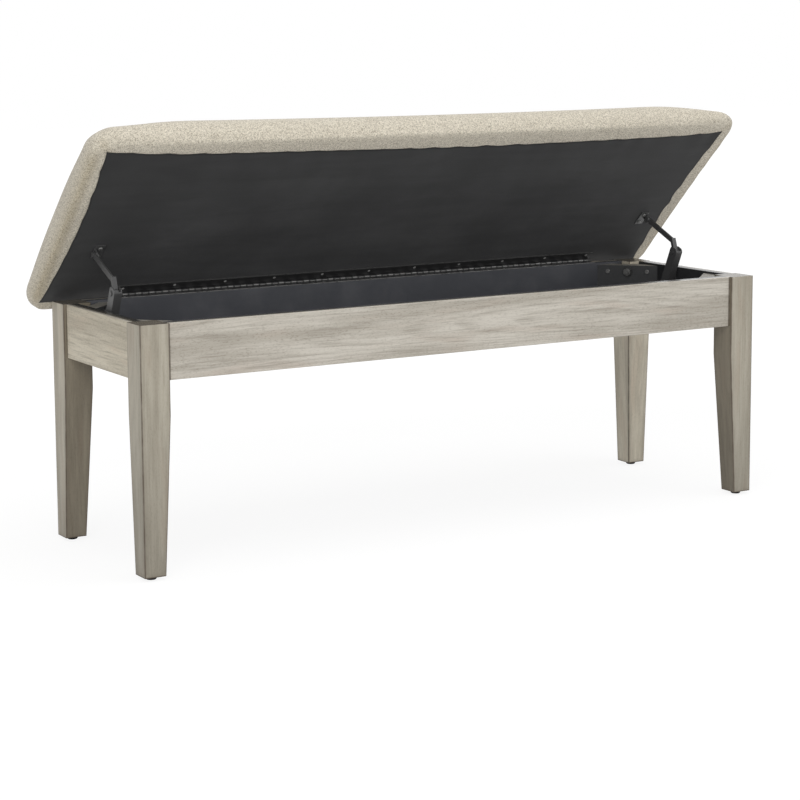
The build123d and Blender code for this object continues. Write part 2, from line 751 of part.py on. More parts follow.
# Lid stays: with both pivots known, the elbow is where the arm and the link meet, on the front side
lid_pivot_p = stay_lid_reach * open_cos + stay_lid_drop * open_sin
lid_pivot_q = stay_lid_reach * open_sin - stay_lid_drop * open_cos
span_p = lid_pivot_p - stay_base_forward
span_q = lid_pivot_q + stay_base_drop
span = hypot(span_p, span_q)
link_turn = acos(
    (span**2 + stay_link_length**2 - stay_arm_length**2) / (2 * span * stay_link_length)
)
link_angle = atan2(span_q, span_p) - link_turn
elbow_p = stay_base_forward + stay_link_length * cos(link_angle)
elbow_q = -stay_base_drop + stay_link_length * sin(link_angle)


def stay_layer(side, x):
    """Upright plane at a distance x from the middle, through the hinge pin: x to the front, y up."""
    return Plane(origin=(side * x, hinge_y, hinge_z), x_dir=(0, -1, 0), z_dir=(-1, 0, 0))


def link_layer(side, x):
    """Upright plane through the base pivot: x along the link to the elbow, y to its back."""
    along = (0, -cos(link_angle), sin(link_angle))
    return Plane(origin=(side * x, base_y, base_z), x_dir=along, z_dir=(-1, 0, 0))


def run_between(start, end):
    """Middle, turned along the run from start to end, and the run's length."""
    turn = degrees(atan2(end[1] - start[1], end[0] - start[0]))
    middle = Location(((start[0] + end[0]) / 2, (start[1] + end[1]) / 2, 0), (0, 0, turn))
    return middle, hypot(end[0] - start[0], end[1] - start[1])


# The arm leaves the lid nearly straight and bends down to the elbow over its last stretch
lid_pivot = (lid_pivot_p, lid_pivot_q)
elbow = (elbow_p, elbow_q)
arm_cos = (elbow_p - lid_pivot_p) / stay_arm_length
arm_sin = (elbow_q - lid_pivot_q) / stay_arm_length
kink = (
    elbow_p - arm_kink_back * arm_cos - arm_kink_rise * arm_sin,
    elbow_q - arm_kink_back * arm_sin + arm_kink_rise * arm_cos,
)
link_inside = link_width - 2 * link_wall
elbow_width = link_inside - 2 * side_clearance
for side_name, side in SIDES:
    with BuildPart() as stay_arm:
        upper_place, upper_run = run_between(lid_pivot, kink)
        lower_place, lower_run = run_between(kink, elbow)
        with BuildSketch(stay_layer(side, stay_x)):
            with Locations(upper_place):
                SlotCenterToCenter(upper_run, arm_width)
            with Locations(lower_place):
                SlotCenterToCenter(lower_run, arm_width)
        extrude(amount=arm_thickness / 2, both=True)
        with BuildSketch(stay_layer(side, stay_x)):
            with Locations(lower_place):
                with Locations((0, arm_width / 2 - elbow_flange_thickness / 2)):
                    Rectangle(lower_run + elbow_boss_radius, elbow_flange_thickness)
            with Locations(elbow):
                Circle(elbow_boss_radius)
        extrude(amount=elbow_width / 2 - elbow_flange_margin, both=True)
        with BuildSketch(stay_layer(side, stay_x)):
            with Locations(lid_pivot):
                Circle(pivot_pin_radius + pin_clearance)
            with Locations(elbow):
                Circle(pivot_pin_radius + elbow_play)
        extrude(amount=link_width, both=True, mode=Mode.SUBTRACT)
    write(stay_arm, f"{side_name}_stay_arm")
    with BuildPart() as stay_link:
        with BuildSketch(link_layer(side, stay_x)):
            link_mid = ((stay_link_length + link_nose - link_tail) / 2, (link_back - link_front) / 2)
            with Locations(link_mid):
                RectangleRounded(
                    link_tail + stay_link_length + link_nose, link_front + link_back, link_corner
                )
        extrude(amount=link_width / 2, both=True)
        with BuildSketch(link_layer(side, stay_x)):
            hollow_mid = (link_mid[0], link_mid[1] + link_wall)
            with Locations(hollow_mid):
                Rectangle(link_tail + stay_link_length + link_nose, link_front + link_back)
        extrude(amount=link_inside / 2, both=True, mode=Mode.SUBTRACT)
        with BuildSketch(link_layer(side, stay_x)):
            Circle(base_pin_radius + pin_clearance)
            with Locations((stay_link_length, 0)):
                Circle(pivot_pin_radius + pin_clearance)
        extrude(amount=link_width, both=True, mode=Mode.SUBTRACT)
    write(stay_link, f"{side_name}_stay_link")
    with BuildPart() as elbow_pin:
        with BuildSketch(link_layer(side, stay_x)):
            with Locations((stay_link_length, 0)):
                Circle(pivot_pin_radius)
        extrude(amount=link_width / 2, both=True)
        for outward in (-1, 1):
            with BuildSketch(link_layer(side, stay_x + outward * (link_width + pivot_head_height) / 2)):
                with Locations((stay_link_length, 0)):
                    Circle(pivot_head_radius)
            extrude(amount=pivot_head_height / 2, both=True)
    write(elbow_pin, f"{side_name}_elbow_pin")
    boss_height = stay_gap - side_clearance
    base_pin_spot = (0, -side * (base_z - base_plate_mid_z))
    with BuildPart() as stay_base:
        with BuildSketch(base_plane(side, 0)):
            RectangleRounded(base_plate_width, base_plate_height, base_plate_corner)
        extrude(amount=base_plate_thickness)
        with BuildSketch(base_plane(side, base_plate_thickness)):
            with Locations(base_pin_spot):
                Circle(base_boss_radius)
        extrude(amount=boss_height)
        with BuildSketch(base_plane(side, 0)):
            with GridLocations(base_screw_dy, base_screw_dz, 2, 2):
                Circle(stay_screw_shank_radius + fastener_clearance)
            with Locations(base_pin_spot):
                Circle(base_pin_radius + pin_clearance)
        extrude(amount=base_plate_thickness + boss_height, mode=Mode.SUBTRACT)
    write(stay_base, f"{side_name}_stay_base")
    pin_reach = base_plate_thickness + stay_gap + link_width + side_clearance
    with BuildPart() as base_pin:
        with BuildSketch(link_layer(side, rail_in_x - pin_reach / 2)):
            Circle(base_pin_radius)
        extrude(amount=pin_reach / 2, both=True)
        with BuildSketch(link_layer(side, rail_in_x - pin_reach - pivot_head_height / 2)):
            Circle(base_pin_head_radius)
        extrude(amount=pivot_head_height / 2, both=True)
    write(base_pin, f"{side_name}_base_pin")

with BuildPart() as stay_base_screws:
    for side_name, side in SIDES:
        face = base_plane(side, base_plate_thickness)
        row = [
            Plane(origin=face.from_local_coords(spot.position), x_dir=(0, 1, 0), z_dir=(-side, 0, 0))
            for spot in GridLocations(base_screw_dy, base_screw_dz, 2, 2)
        ]
        with Locations(*row):
            add(stay_screw)
write(stay_base_screws, "stay_base_screws")
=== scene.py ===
"""Dresses the storage bench: wood, seat fabric, dust cover, metal fittings, floor, light and camera.

Everything is in metres, in the bench's own frame: the origin is on the floor at the centre of the four legs,
X runs to the right along the bench, Y to the back and Z up.
"""
import json
import logging
import math
from dataclasses import dataclass, field
from enum import Enum

import bpy
import numpy as np
from mathutils import Matrix


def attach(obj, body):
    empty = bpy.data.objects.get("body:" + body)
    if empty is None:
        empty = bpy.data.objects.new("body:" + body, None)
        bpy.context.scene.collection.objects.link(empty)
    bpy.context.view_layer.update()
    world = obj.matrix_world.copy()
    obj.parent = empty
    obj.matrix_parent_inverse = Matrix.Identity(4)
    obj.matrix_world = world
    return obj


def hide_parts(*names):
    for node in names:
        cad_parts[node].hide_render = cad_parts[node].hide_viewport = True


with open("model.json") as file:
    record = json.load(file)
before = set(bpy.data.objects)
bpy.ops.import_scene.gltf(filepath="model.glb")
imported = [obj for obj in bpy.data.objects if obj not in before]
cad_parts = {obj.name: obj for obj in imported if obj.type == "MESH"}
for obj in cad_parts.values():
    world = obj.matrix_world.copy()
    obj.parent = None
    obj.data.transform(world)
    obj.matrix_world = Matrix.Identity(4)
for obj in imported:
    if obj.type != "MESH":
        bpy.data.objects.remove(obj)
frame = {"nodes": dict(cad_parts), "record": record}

LOG = logging.getLogger("bench")

Colour = tuple[float, float, float]
Span = tuple[float, float]
Socket = bpy.types.NodeSocket


class Grain(Enum):
    """Direction in which the grain of a piece of wood runs, as a unit vector along the bench's axes."""

    ALONG_BENCH = (1.0, 0.0, 0.0)
    ACROSS_BENCH = (0.0, 1.0, 0.0)
    UPRIGHT = (0.0, 0.0, 1.0)

    def stretch(self, along: float, across: float) -> Colour:
        """Scale of a pattern per metre, along the grain and across it, as one factor for each axis."""
        return tuple(along if share else across for share in self.value)


class Graph:
    """The node tree of one material, with a short call for each kind of node that the finishes use."""

    def __init__(self, name: str) -> None:
        """Starts an empty material.

        Args:
            name: Name of the material.
        """
        self.material = bpy.data.materials.new(name)
        self.material.use_nodes = True
        self.nodes = self.material.node_tree.nodes
        self.links = self.material.node_tree.links
        self.nodes.clear()
        self.output = self.nodes.new("ShaderNodeOutputMaterial")

    def node(self, kind: str, inputs: dict | None = None, **settings: object) -> bpy.types.Node:
        """Adds a node.

        Args:
            kind: Blender's name of the node type.
            inputs: What each input gets, by name or number: another node's socket, or a plain value.
            **settings: Properties of the node itself.

        Returns:
            The new node.
        """
        made = self.nodes.new(kind)
        for key, value in settings.items():
            setattr(made, key, value)
        for key, value in (inputs or {}).items():
            if isinstance(value, Socket):
                self.links.new(value, made.inputs[key])
            else:
                made.inputs[key].default_value = value
        return made

    def place(self) -> Socket:
        """Position on the piece, in metres."""
        return self.node("ShaderNodeTexCoord").outputs["Object"]

    def facing(self) -> Socket:
        """Direction in which the surface faces, in the piece's own axes."""
        return self.node("ShaderNodeTexCoord").outputs["Normal"]

    def split(self, vector: Socket) -> list[Socket]:
        """The three parts of a vector."""
        return list(self.node("ShaderNodeSeparateXYZ", {0: vector}).outputs)

    def scaled(self, vector: Socket, factors: Colour) -> Socket:
        """A vector times one factor for each axis."""
        return self.node("ShaderNodeVectorMath", {0: vector, 1: factors}, operation="MULTIPLY").outputs[0]

    def moved(self, vector: Socket, amount: Socket, factors: Colour) -> Socket:
        """A vector plus an amount times one factor for each axis."""
        inputs = {0: amount, 1: factors, 2: vector}
        return self.node("ShaderNodeVectorMath", inputs, operation="MULTIPLY_ADD").outputs[0]

    def math(self, operation: str, first: Socket | float, second: Socket | float = 0.0) -> Socket:
        """Result of a sum on two values."""
        return self.node("ShaderNodeMath", {0: first, 1: second}, operation=operation).outputs[0]

    def noise(self, vector: Socket, scale: float, detail: float = 2.0, roughness: float = 0.5,
              distortion: float = 0.0) -> Socket:
        """Cloudy noise from 0 to 1.

        Args:
            vector: Where the noise is read.
            scale: Clouds per unit of that vector.
            detail: Number of finer layers.
            roughness: Weight of the finer layers.
            distortion: How far the clouds are pulled about.

        Returns:
            The noise value.
        """
        inputs = {"Vector": vector, "Scale": scale, "Detail": detail, "Roughness": roughness,
                  "Distortion": distortion}
        return self.node("ShaderNodeTexNoise", inputs).outputs[0]

    def step(self, value: Socket, low: float, high: float) -> Socket:
        """Smooth step: 0 where value is at low, 1 where it is at high."""
        inputs = {"Value": value, "From Min": low, "From Max": high, "To Min": 0.0, "To Max": 1.0}
        return self.node("ShaderNodeMapRange", inputs, interpolation_type="SMOOTHSTEP").outputs[0]

    def span(self, value: Socket, low: float, high: float, start: float = 0.0, end: float = 1.0) -> Socket:
        """Straight ramp: low where value is at start, high where it is at end, and level beyond."""
        inputs = {"Value": value, "From Min": start, "From Max": end, "To Min": low, "To Max": high}
        return self.node("ShaderNodeMapRange", inputs).outputs[0]

    def dimmed(self, colour: Socket, factor: Socket) -> Socket:
        """A colour times a number."""
        return self.node("ShaderNodeVectorMath", {0: colour, "Scale": factor}, operation="SCALE").outputs[0]

    def share(self, mask: Socket, strength: Socket | float) -> Socket:
        """A mask made weaker."""
        return self.math("MULTIPLY", mask, strength)

    def rest_of(self, mask: Socket) -> Socket:
        """What a mask leaves out: 1 less the mask."""
        return self.math("SUBTRACT", 1.0, mask)

    def attribute(self, name: str) -> Socket:
        """A value that the mesh holds for each of its points."""
        return self.node("ShaderNodeAttribute", attribute_name=name).outputs["Fac"]

    def blend(self, share: Socket | float, first: Socket | Colour, second: Socket | Colour,
              how: str = "MIX") -> Socket:
        """Colour between two others.

        Args:
            share: 0 for the first colour, 1 for the second.
            first: A colour, or a socket that gives one.
            second: A colour, or a socket that gives one.
            how: Blender's name of the way to mix.

        Returns:
            The mixed colour.
        """
        inputs = {0: share, 6: opaque(first), 7: opaque(second)}
        return self.node("ShaderNodeMix", inputs, data_type="RGBA", blend_type=how).outputs[2]

    def bump(self, height: Socket, depth: float, strength: float = 1.0,
             below: Socket | None = None) -> Socket:
        """Surface normal for a relief.

        Args:
            height: Relief from 0 to 1.
            depth: Depth of the relief in metres.
            strength: How strongly it shows.
            below: Normal of a coarser relief that this one lies on.

        Returns:
            The normal.
        """
        inputs = {"Height": height, "Distance": depth, "Strength": strength}
        if below is not None:
            inputs["Normal"] = below
        return self.node("ShaderNodeBump", inputs).outputs[0]

    def surface(self, **inputs: object) -> bpy.types.Material:
        """Ends the material with its shader.

        Args:
            **inputs: The shader's inputs by name, with _ for each space.

        Returns:
            The finished material.
        """
        named = {key.replace("_", " "): value for key, value in inputs.items()}
        named["Base Color"] = opaque(named["Base Color"])
        shader = self.node("ShaderNodeBsdfPrincipled", named)
        self.links.new(shader.outputs[0], self.output.inputs["Surface"])
        return self.material


def opaque(colour: Socket | Colour) -> Socket | tuple[float, ...]:
    """A colour with full opacity added, or the socket as it is."""
    return colour if isinstance(colour, Socket) else (*colour, 1.0)


@dataclass(frozen=True)
class Driftwood:
    """Wood stained grey like driftwood: pale boards with long soft patches, nested rings, fine streaks and
    pores.

    A scale gives a pattern's repeats per metre along the grain and across it, a step the span of noise over
    which the pattern comes in, and a share how strongly it shows.
    """

    grain: Grain
    pale: Colour = (0.560, 0.525, 0.458)
    mid: Colour = (0.400, 0.368, 0.311)
    streak: Colour = (0.245, 0.218, 0.176)
    warm: Colour = (0.455, 0.388, 0.322)
    glaze: Colour = (0.080, 0.060, 0.040)
    cast: Colour = (1.0, 1.0, 1.0)
    seam: float = 0.0016
    figure: float = 1.0
    sway_scale: Span = (2.2, 9.0)
    sway_reach: float = 0.011
    patch_scale: Span = (2.6, 34.0)
    patch_step: Span = (0.35, 0.66)
    growth_scale: Span = (1.5, 14.0)
    rings: float = 17.0
    ring_start: Span = (0.35, 0.80)
    ring_end: Span = (1.0, 0.84)
    ring_break: Span = (0.36, 0.60)
    ring_share: float = 0.40
    fine_scale: Span = (11.0, 380.0)
    fine_step: Span = (0.48, 0.72)
    fine_share: float = 0.58
    pore_scale: Span = (190.0, 560.0)
    pore_step: Span = (0.52, 0.68)
    pore_range: Span = (0.45, 1.0)
    pore_patches: Span = (0.40, 0.62)
    pore_share: float = 0.60
    blush_scale: Span = (6.0, 42.0)
    blush_step: Span = (0.52, 0.72)
    blush_share: float = 0.50
    gloss: Span = (0.46, 0.64)
    relief_shares: Span = (0.6, 0.4)
    relief_depth: float = 0.0004
    relief_strength: float = 0.5
    rub_scale: float = 34.0
    rub_step: Span = (0.30, 0.60)
    rub_left: Span = (0.60, 0.95)
    upward: Span = (0.55, 0.85)
    top_cover: float = 0.95
    top_gloss: float = 0.24

    def drawn_out(self, graph: Graph, place: Socket, scale: Span, detail: float, roughness: float = 0.5,
                  distortion: float = 0.0) -> Socket:
        """Noise drawn out along the grain, by its scale along the grain and across it."""
        stretched = graph.scaled(place, self.grain.stretch(*scale))
        return graph.noise(stretched, 1.0, detail, roughness, distortion)

    def grained(self, graph: Graph, place: Socket) -> tuple[Socket, Socket, Socket]:
        """The stained grain, before any glaze or paint.

        The grain's coordinates are bent a little by slow noise. Contour lines of a slow noise give the nested
        rings of sawn boards, and noise drawn out along the grain gives the patches, streaks and pores.

        Args:
            graph: The material's nodes.
            place: Position on the piece.

        Returns:
            Colour, relief from 0 to 1, and roughness.
        """
        sway = self.drawn_out(graph, place, self.sway_scale, 1.0)
        bent = graph.moved(place, sway, self.grain.stretch(0.0, self.sway_reach))
        patch = self.drawn_out(graph, bent, self.patch_scale, 4.0, 0.62, 0.15)
        growth = self.drawn_out(graph, bent, self.growth_scale, 0.0)
        fine = self.drawn_out(graph, bent, self.fine_scale, 5.0, 0.74)
        pores = self.drawn_out(graph, bent, self.pore_scale, 2.0, 0.6)
        blush = self.drawn_out(graph, bent, self.blush_scale, 2.0)
        ring = graph.math("FRACT", graph.math("MULTIPLY", growth, self.rings))
        late = graph.share(graph.step(ring, *self.ring_start), graph.step(ring, *self.ring_end))
        late = graph.share(late, graph.step(fine, *self.ring_break))
        streaks = graph.step(fine, *self.fine_step)
        open_pores = graph.share(graph.step(pores, *self.pore_step),
                                 graph.span(patch, *self.pore_range, *self.pore_patches))
        tone = graph.blend(graph.step(patch, *self.patch_step), self.pale, self.mid)
        blush = graph.step(blush, *self.blush_step)
        tone = graph.blend(graph.share(blush, self.blush_share), tone, self.warm)
        lines = ((late, self.ring_share), (streaks, self.fine_share), (open_pores, self.pore_share))
        for mask, strength in lines:
            tone = graph.blend(graph.share(mask, strength * self.figure), tone, self.streak)
        tone = graph.blend(1.0, tone, self.cast, "MULTIPLY")
        of_fine, of_pores = self.relief_shares
        relief = graph.math("ADD", graph.share(fine, of_fine), graph.share(pores, of_pores))
        return tone, relief, graph.span(fine, *self.gloss)

    def rubbed(self, graph: Graph, place: Socket, line: Socket, tone: Socket) -> Socket:
        """Lays dark glaze along a line, rubbed off unevenly.

        Args:
            graph: The material's nodes.
            place: Position on the piece.
            line: 1 on the line and 0 away from it.
            tone: Colour of the wood.

        Returns:
            The colour with the glaze.
        """
        left = graph.span(graph.noise(place, self.rub_scale, 2.0), *self.rub_left, *self.rub_step)
        return graph.blend(graph.share(line, left), tone, self.glaze)

    def topped(self, graph: Graph, facing_z: Socket, tone: Socket, top: Socket | Colour,
               rough: Socket) -> tuple[Socket, Socket]:
        """Gives the faces that look up another colour and a smoother lacquer.

        Args:
            graph: The material's nodes.
            facing_z: How far the surface looks up, from -1 to 1.
            tone: Colour of the wood.
            top: Colour of the faces that look up.
            rough: Roughness of the wood.

        Returns:
            Colour and roughness.
        """
        upper = graph.step(facing_z, *self.upward)
        lift = graph.share(upper, graph.math("SUBTRACT", self.top_gloss, rough))
        return graph.blend(graph.share(upper, self.top_cover), tone, top), graph.math("ADD", rough, lift)

    def finished(self, graph: Graph, tone: Socket, rough: Socket, relief: Socket) -> bpy.types.Material:
        """Ends the material with its colour, roughness and relief."""
        normal = graph.bump(relief, self.relief_depth, self.relief_strength)
        return graph.surface(Base_Color=tone, Roughness=rough, Normal=normal)


@dataclass(frozen=True)
class RailWood(Driftwood):
    """A rail: dark glaze in the joints at its ends that also stands for painted shadow in the gaps at the
    legs, a pale outer arris on top that is partly raw wood and partly painted highlight, a dark top edge, and
    blue-black paint inside and over it.

    Half is half of its length between the legs, face is its outer face's distance from the bench's middle,
    and bare is the part of the top edge that the paint leaves free. The joints' line is given in seams from
    the rail's end.
    """

    cast: Colour = (1.03, 1.03, 1.04)
    half: float = 0.560
    face: float = 0.174
    bare: float = 0.011
    raw_arris_and_highlight: float = 0.0050
    joint_seams: Span = (2.3, 1.7)
    top: Colour = (0.135, 0.118, 0.092)
    inside: Colour = (0.058, 0.0605, 0.070)
    scuffed: Colour = (0.092, 0.0945, 0.105)
    scuff_scale: float = 9.0
    scuff_step: Span = (0.42, 0.78)
    inward: float = -0.03

    def material(self) -> bpy.types.Material:
        """The rail's wood as a material.

        A face looks into the box where its direction times its place, along X or Y, is well below 0.

        Returns:
            The material.
        """
        graph = Graph(f"rail_{self.grain.name.lower()}")
        place = graph.place()
        tone, relief, rough = self.grained(graph, place)
        x, y, _ = graph.split(place)
        facing_x, facing_y, facing_z = graph.split(graph.facing())
        along, across = (x, y) if self.grain is Grain.ALONG_BENCH else (y, x)
        # Dark band at the rail's ends: partly glaze in the joints, partly painted shadow of the gaps at the
        # legs.
        start, full = (self.half - seams * self.seam for seams in self.joint_seams)
        joint_glaze_and_shadow = graph.step(graph.math("ABSOLUTE", along), start, full)
        tone = self.rubbed(graph, place, joint_glaze_and_shadow, tone)
        haze = graph.step(graph.noise(place, self.scuff_scale, 4.0, 0.6), *self.scuff_step)
        paint = graph.blend(haze, self.inside, self.scuffed)
        depth = graph.math("SUBTRACT", self.face, graph.math("ABSOLUTE", across))
        # Pale strip along the top's outer arris: partly raw wood, partly painted highlight.
        edge = graph.blend(graph.step(depth, self.raw_arris_and_highlight, self.raw_arris_and_highlight + self.seam), self.pale, self.top)
        edge = graph.blend(graph.step(depth, self.bare - self.seam, self.bare + self.seam), edge, paint)
        tone, rough = self.topped(graph, facing_z, tone, edge, rough)
        outward = graph.math("MINIMUM", graph.math("MULTIPLY", x, facing_x),
                             graph.math("MULTIPLY", y, facing_y))
        tone = graph.blend(graph.math("LESS_THAN", outward, self.inward), tone, paint)
        return self.finished(graph, tone, rough, relief)


@dataclass(frozen=True)
class LegWood(Driftwood):
    """A leg: glaze along its edges, painted shade towards the foot, painted shade on the inner faces of two
    legs and painted light on those of the other two, and painted light on the two rear legs.

    Corner_x and corner_y are the outer faces' distances from the bench's middle. The glaze's line is given in
    seams from the edge.
    """

    cast: Colour = (1.05, 1.03, 0.965)
    corner_x: float = 0.610
    corner_y: float = 0.179
    square: float = 0.050
    foot: float = 0.037
    taper: Span = (0.006, 0.261)
    figure: float = 0.48
    shade: Span = (0.585, 0.765)
    shade_heights: Span = (0.0, 0.33)
    rear_painted_light: float = 1.17
    rear_from: Span = (-0.01, 0.01)
    inward_x: float = -0.3
    inward_y: float = -0.08
    inner_painted_light: float = 0.52
    inner_light_to_shade: float = 0.98
    inner_shade_tint: Colour = (1.0, 0.945, 0.86)
    line_seams: Span = (0.6, 1.6)
    feather: float = 0.009
    feather_share: float = 0.22
    top: Colour = (0.168, 0.148, 0.120)

    def material(self) -> bpy.types.Material:
        """The leg's wood as a material.

        The leg's width is read from the height. A point lies on an edge when it is near one of the two X
        faces and near one of the two Y faces. The inner faces get painted shade on the front right and rear
        left legs, and painted light on the other two, where x times y is above 0; the shaded ones are also
        tinted warm. The rear legs get painted light all over, and every leg gets painted shade towards the
        foot.

        Returns:
            The material.
        """
        graph = Graph("leg_upright")
        place = graph.place()
        tone, relief, rough = self.grained(graph, place)
        x, y, z = graph.split(place)
        width = graph.span(z, self.foot, self.square, *self.taper)
        facing_x, facing_y, facing_z = graph.split(graph.facing())
        # Painted shade on the inner faces of the front right and rear left legs, painted light on those of
        # the other two, and painted light on the rear legs.
        inner = graph.math("MAXIMUM",
                           graph.math("LESS_THAN", graph.math("MULTIPLY", x, facing_x), self.inward_x),
                           graph.math("LESS_THAN", graph.math("MULTIPLY", y, facing_y), self.inward_y))
        dark = graph.math("LESS_THAN", graph.math("MULTIPLY", x, y), 0.0)
        swing = graph.math("SUBTRACT", self.inner_painted_light, graph.share(dark, self.inner_light_to_shade))
        painted_light_and_shade = graph.math("ADD", 1.0, graph.share(inner, swing))
        painted_light_and_shade = graph.math("MULTIPLY", painted_light_and_shade, graph.span(y, 1.0, self.rear_painted_light, *self.rear_from))
        # Painted shade, darker towards the foot.
        shade = graph.span(z, *self.shade, *self.shade_heights)
        tone = graph.dimmed(tone, graph.math("MULTIPLY", painted_light_and_shade, shade))
        # Warm tint of the painted shade on the shaded inner faces.
        tone = graph.blend(graph.share(inner, dark), tone, self.inner_shade_tint, "MULTIPLY")
        near = []
        for value, corner in ((x, self.corner_x), (y, self.corner_y)):
            outer = graph.math("SUBTRACT", corner, graph.math("ABSOLUTE", value))
            near.append(graph.math("MINIMUM", outer, graph.math("SUBTRACT", width, outer)))
        edge = graph.math("MAXIMUM", *near)
        edge = graph.math("MINIMUM", edge, graph.math("SUBTRACT", z, self.taper[0]))
        line = graph.rest_of(graph.step(edge, *(seams * self.seam for seams in self.line_seams)))
        soft = graph.rest_of(graph.step(edge, 0.0, self.feather))
        tone, rough = self.topped(graph, facing_z, tone, self.top, rough)
        line = graph.math("MAXIMUM", line, graph.share(soft, self.feather_share))
        tone = self.rubbed(graph, place, line, tone)
        return self.finished(graph, tone, rough, relief)


@dataclass(frozen=True)
class DarkPaint:
    """Blue-black paint on the boards inside the box, with faint grain under it and raw pale wood on top."""

    name: str
    paint: Colour = (0.0205, 0.0210, 0.0222)
    dust: Colour = (0.0340, 0.0343, 0.0350)
    dust_scale: float = 14.0
    dust_step: Span = (0.42, 0.75)
    fibre_scale: Colour = (60.0, 60.0, 400.0)
    gloss: Span = (0.36, 0.56)
    raw: Colour = (0.300, 0.284, 0.250)
    raw_figure: Colour = (0.22, 0.204, 0.175)
    raw_step: Span = (0.3, 0.7)
    upward: Span = (0.6, 0.9)
    raw_top: bool = False

    def material(self) -> bpy.types.Material:
        """The painted wood, cloudy with dust, as a material.

        Returns:
            The material.
        """
        graph = Graph(self.name)
        place = graph.place()
        cloud = graph.noise(place, self.dust_scale, 4.0, 0.6)
        fibre = graph.noise(graph.scaled(place, self.fibre_scale), 1.0, 3.0)
        tone = graph.blend(graph.step(cloud, *self.dust_step), self.paint, self.dust)
        if self.raw_top:
            facing_z = graph.split(graph.facing())[2]
            grained = graph.blend(graph.step(fibre, *self.raw_step), self.raw, self.raw_figure)
            tone = graph.blend(graph.step(facing_z, *self.upward), tone, grained)
        return graph.surface(Base_Color=tone, Roughness=graph.span(cloud, *self.gloss),
                             Normal=graph.bump(fibre, 0.0003, 0.4))


@dataclass(frozen=True)
class Tweed:
    """Oatmeal tweed: light and dark yarns mixed in small flecks, with a knobbly weave."""

    light: Colour = (0.755, 0.702, 0.590)
    mid: Colour = (0.594, 0.541, 0.438)
    dark: Colour = (0.312, 0.275, 0.215)
    tuck_shade: Colour = (0.77, 0.735, 0.655)
    yarns_per_metre: float = 960.0
    yarn_share: float = 0.58
    wander_scale: float = 260.0
    wander_reach: float = 0.0024
    clump_scale: float = 340.0
    clump_share: float = 0.50
    mid_step: Span = (0.22, 0.56)
    light_step: Span = (0.48, 0.84)
    cloud_scale: float = 16.0
    cloud_step: Span = (0.45, 0.80)
    cloud_share: float = 0.12
    knob_depth: float = 0.0006
    clump_depth: float = 0.0012

    def material(self) -> bpy.types.Material:
        """The tweed as a material: each small cell is a float of yarn with a shade of its own.

        The mesh's attribute is 1 where the fabric is drawn in, and there the tone is darkened and warmed as
        painted shade.

        Returns:
            The material.
        """
        graph = Graph("seat_tweed")
        place = graph.place()
        noise = {"Vector": place, "Scale": self.wander_scale, "Detail": 2.0}
        wander = graph.node("ShaderNodeTexNoise", noise).outputs[1]
        pulled = graph.moved(place, wander, (self.wander_reach,) * 3)
        yarn = graph.node("ShaderNodeTexVoronoi", {"Vector": pulled, "Scale": self.yarns_per_metre})
        shade = graph.split(yarn.outputs["Color"])[0]
        clump = graph.noise(place, self.clump_scale, 3.0, 0.65)
        mixed = graph.math("ADD", graph.share(shade, self.yarn_share), graph.share(clump, self.clump_share))
        tone = graph.blend(graph.step(mixed, *self.mid_step), self.dark, self.mid)
        tone = graph.blend(graph.step(mixed, *self.light_step), tone, self.light)
        cloud = graph.step(graph.noise(place, self.cloud_scale, 3.0, 0.5), *self.cloud_step)
        tone = graph.blend(graph.share(cloud, self.cloud_share), tone, self.dark)
        # Painted shade where the fabric is drawn in: along the ends' lower roll and in the corner folds.
        tone = graph.blend(graph.attribute("tuck_shade"), tone, self.tuck_shade, "MULTIPLY")
        knob = graph.rest_of(graph.math("MULTIPLY", yarn.outputs["Distance"], 1.4))
        coarse = graph.bump(clump, self.clump_depth, 0.40)
        normal = graph.bump(knob, self.knob_depth, 0.50, coarse)
        return graph.surface(Base_Color=tone, Roughness=0.92, Normal=normal, Sheen_Weight=0.20,
                             Sheen_Roughness=0.55)


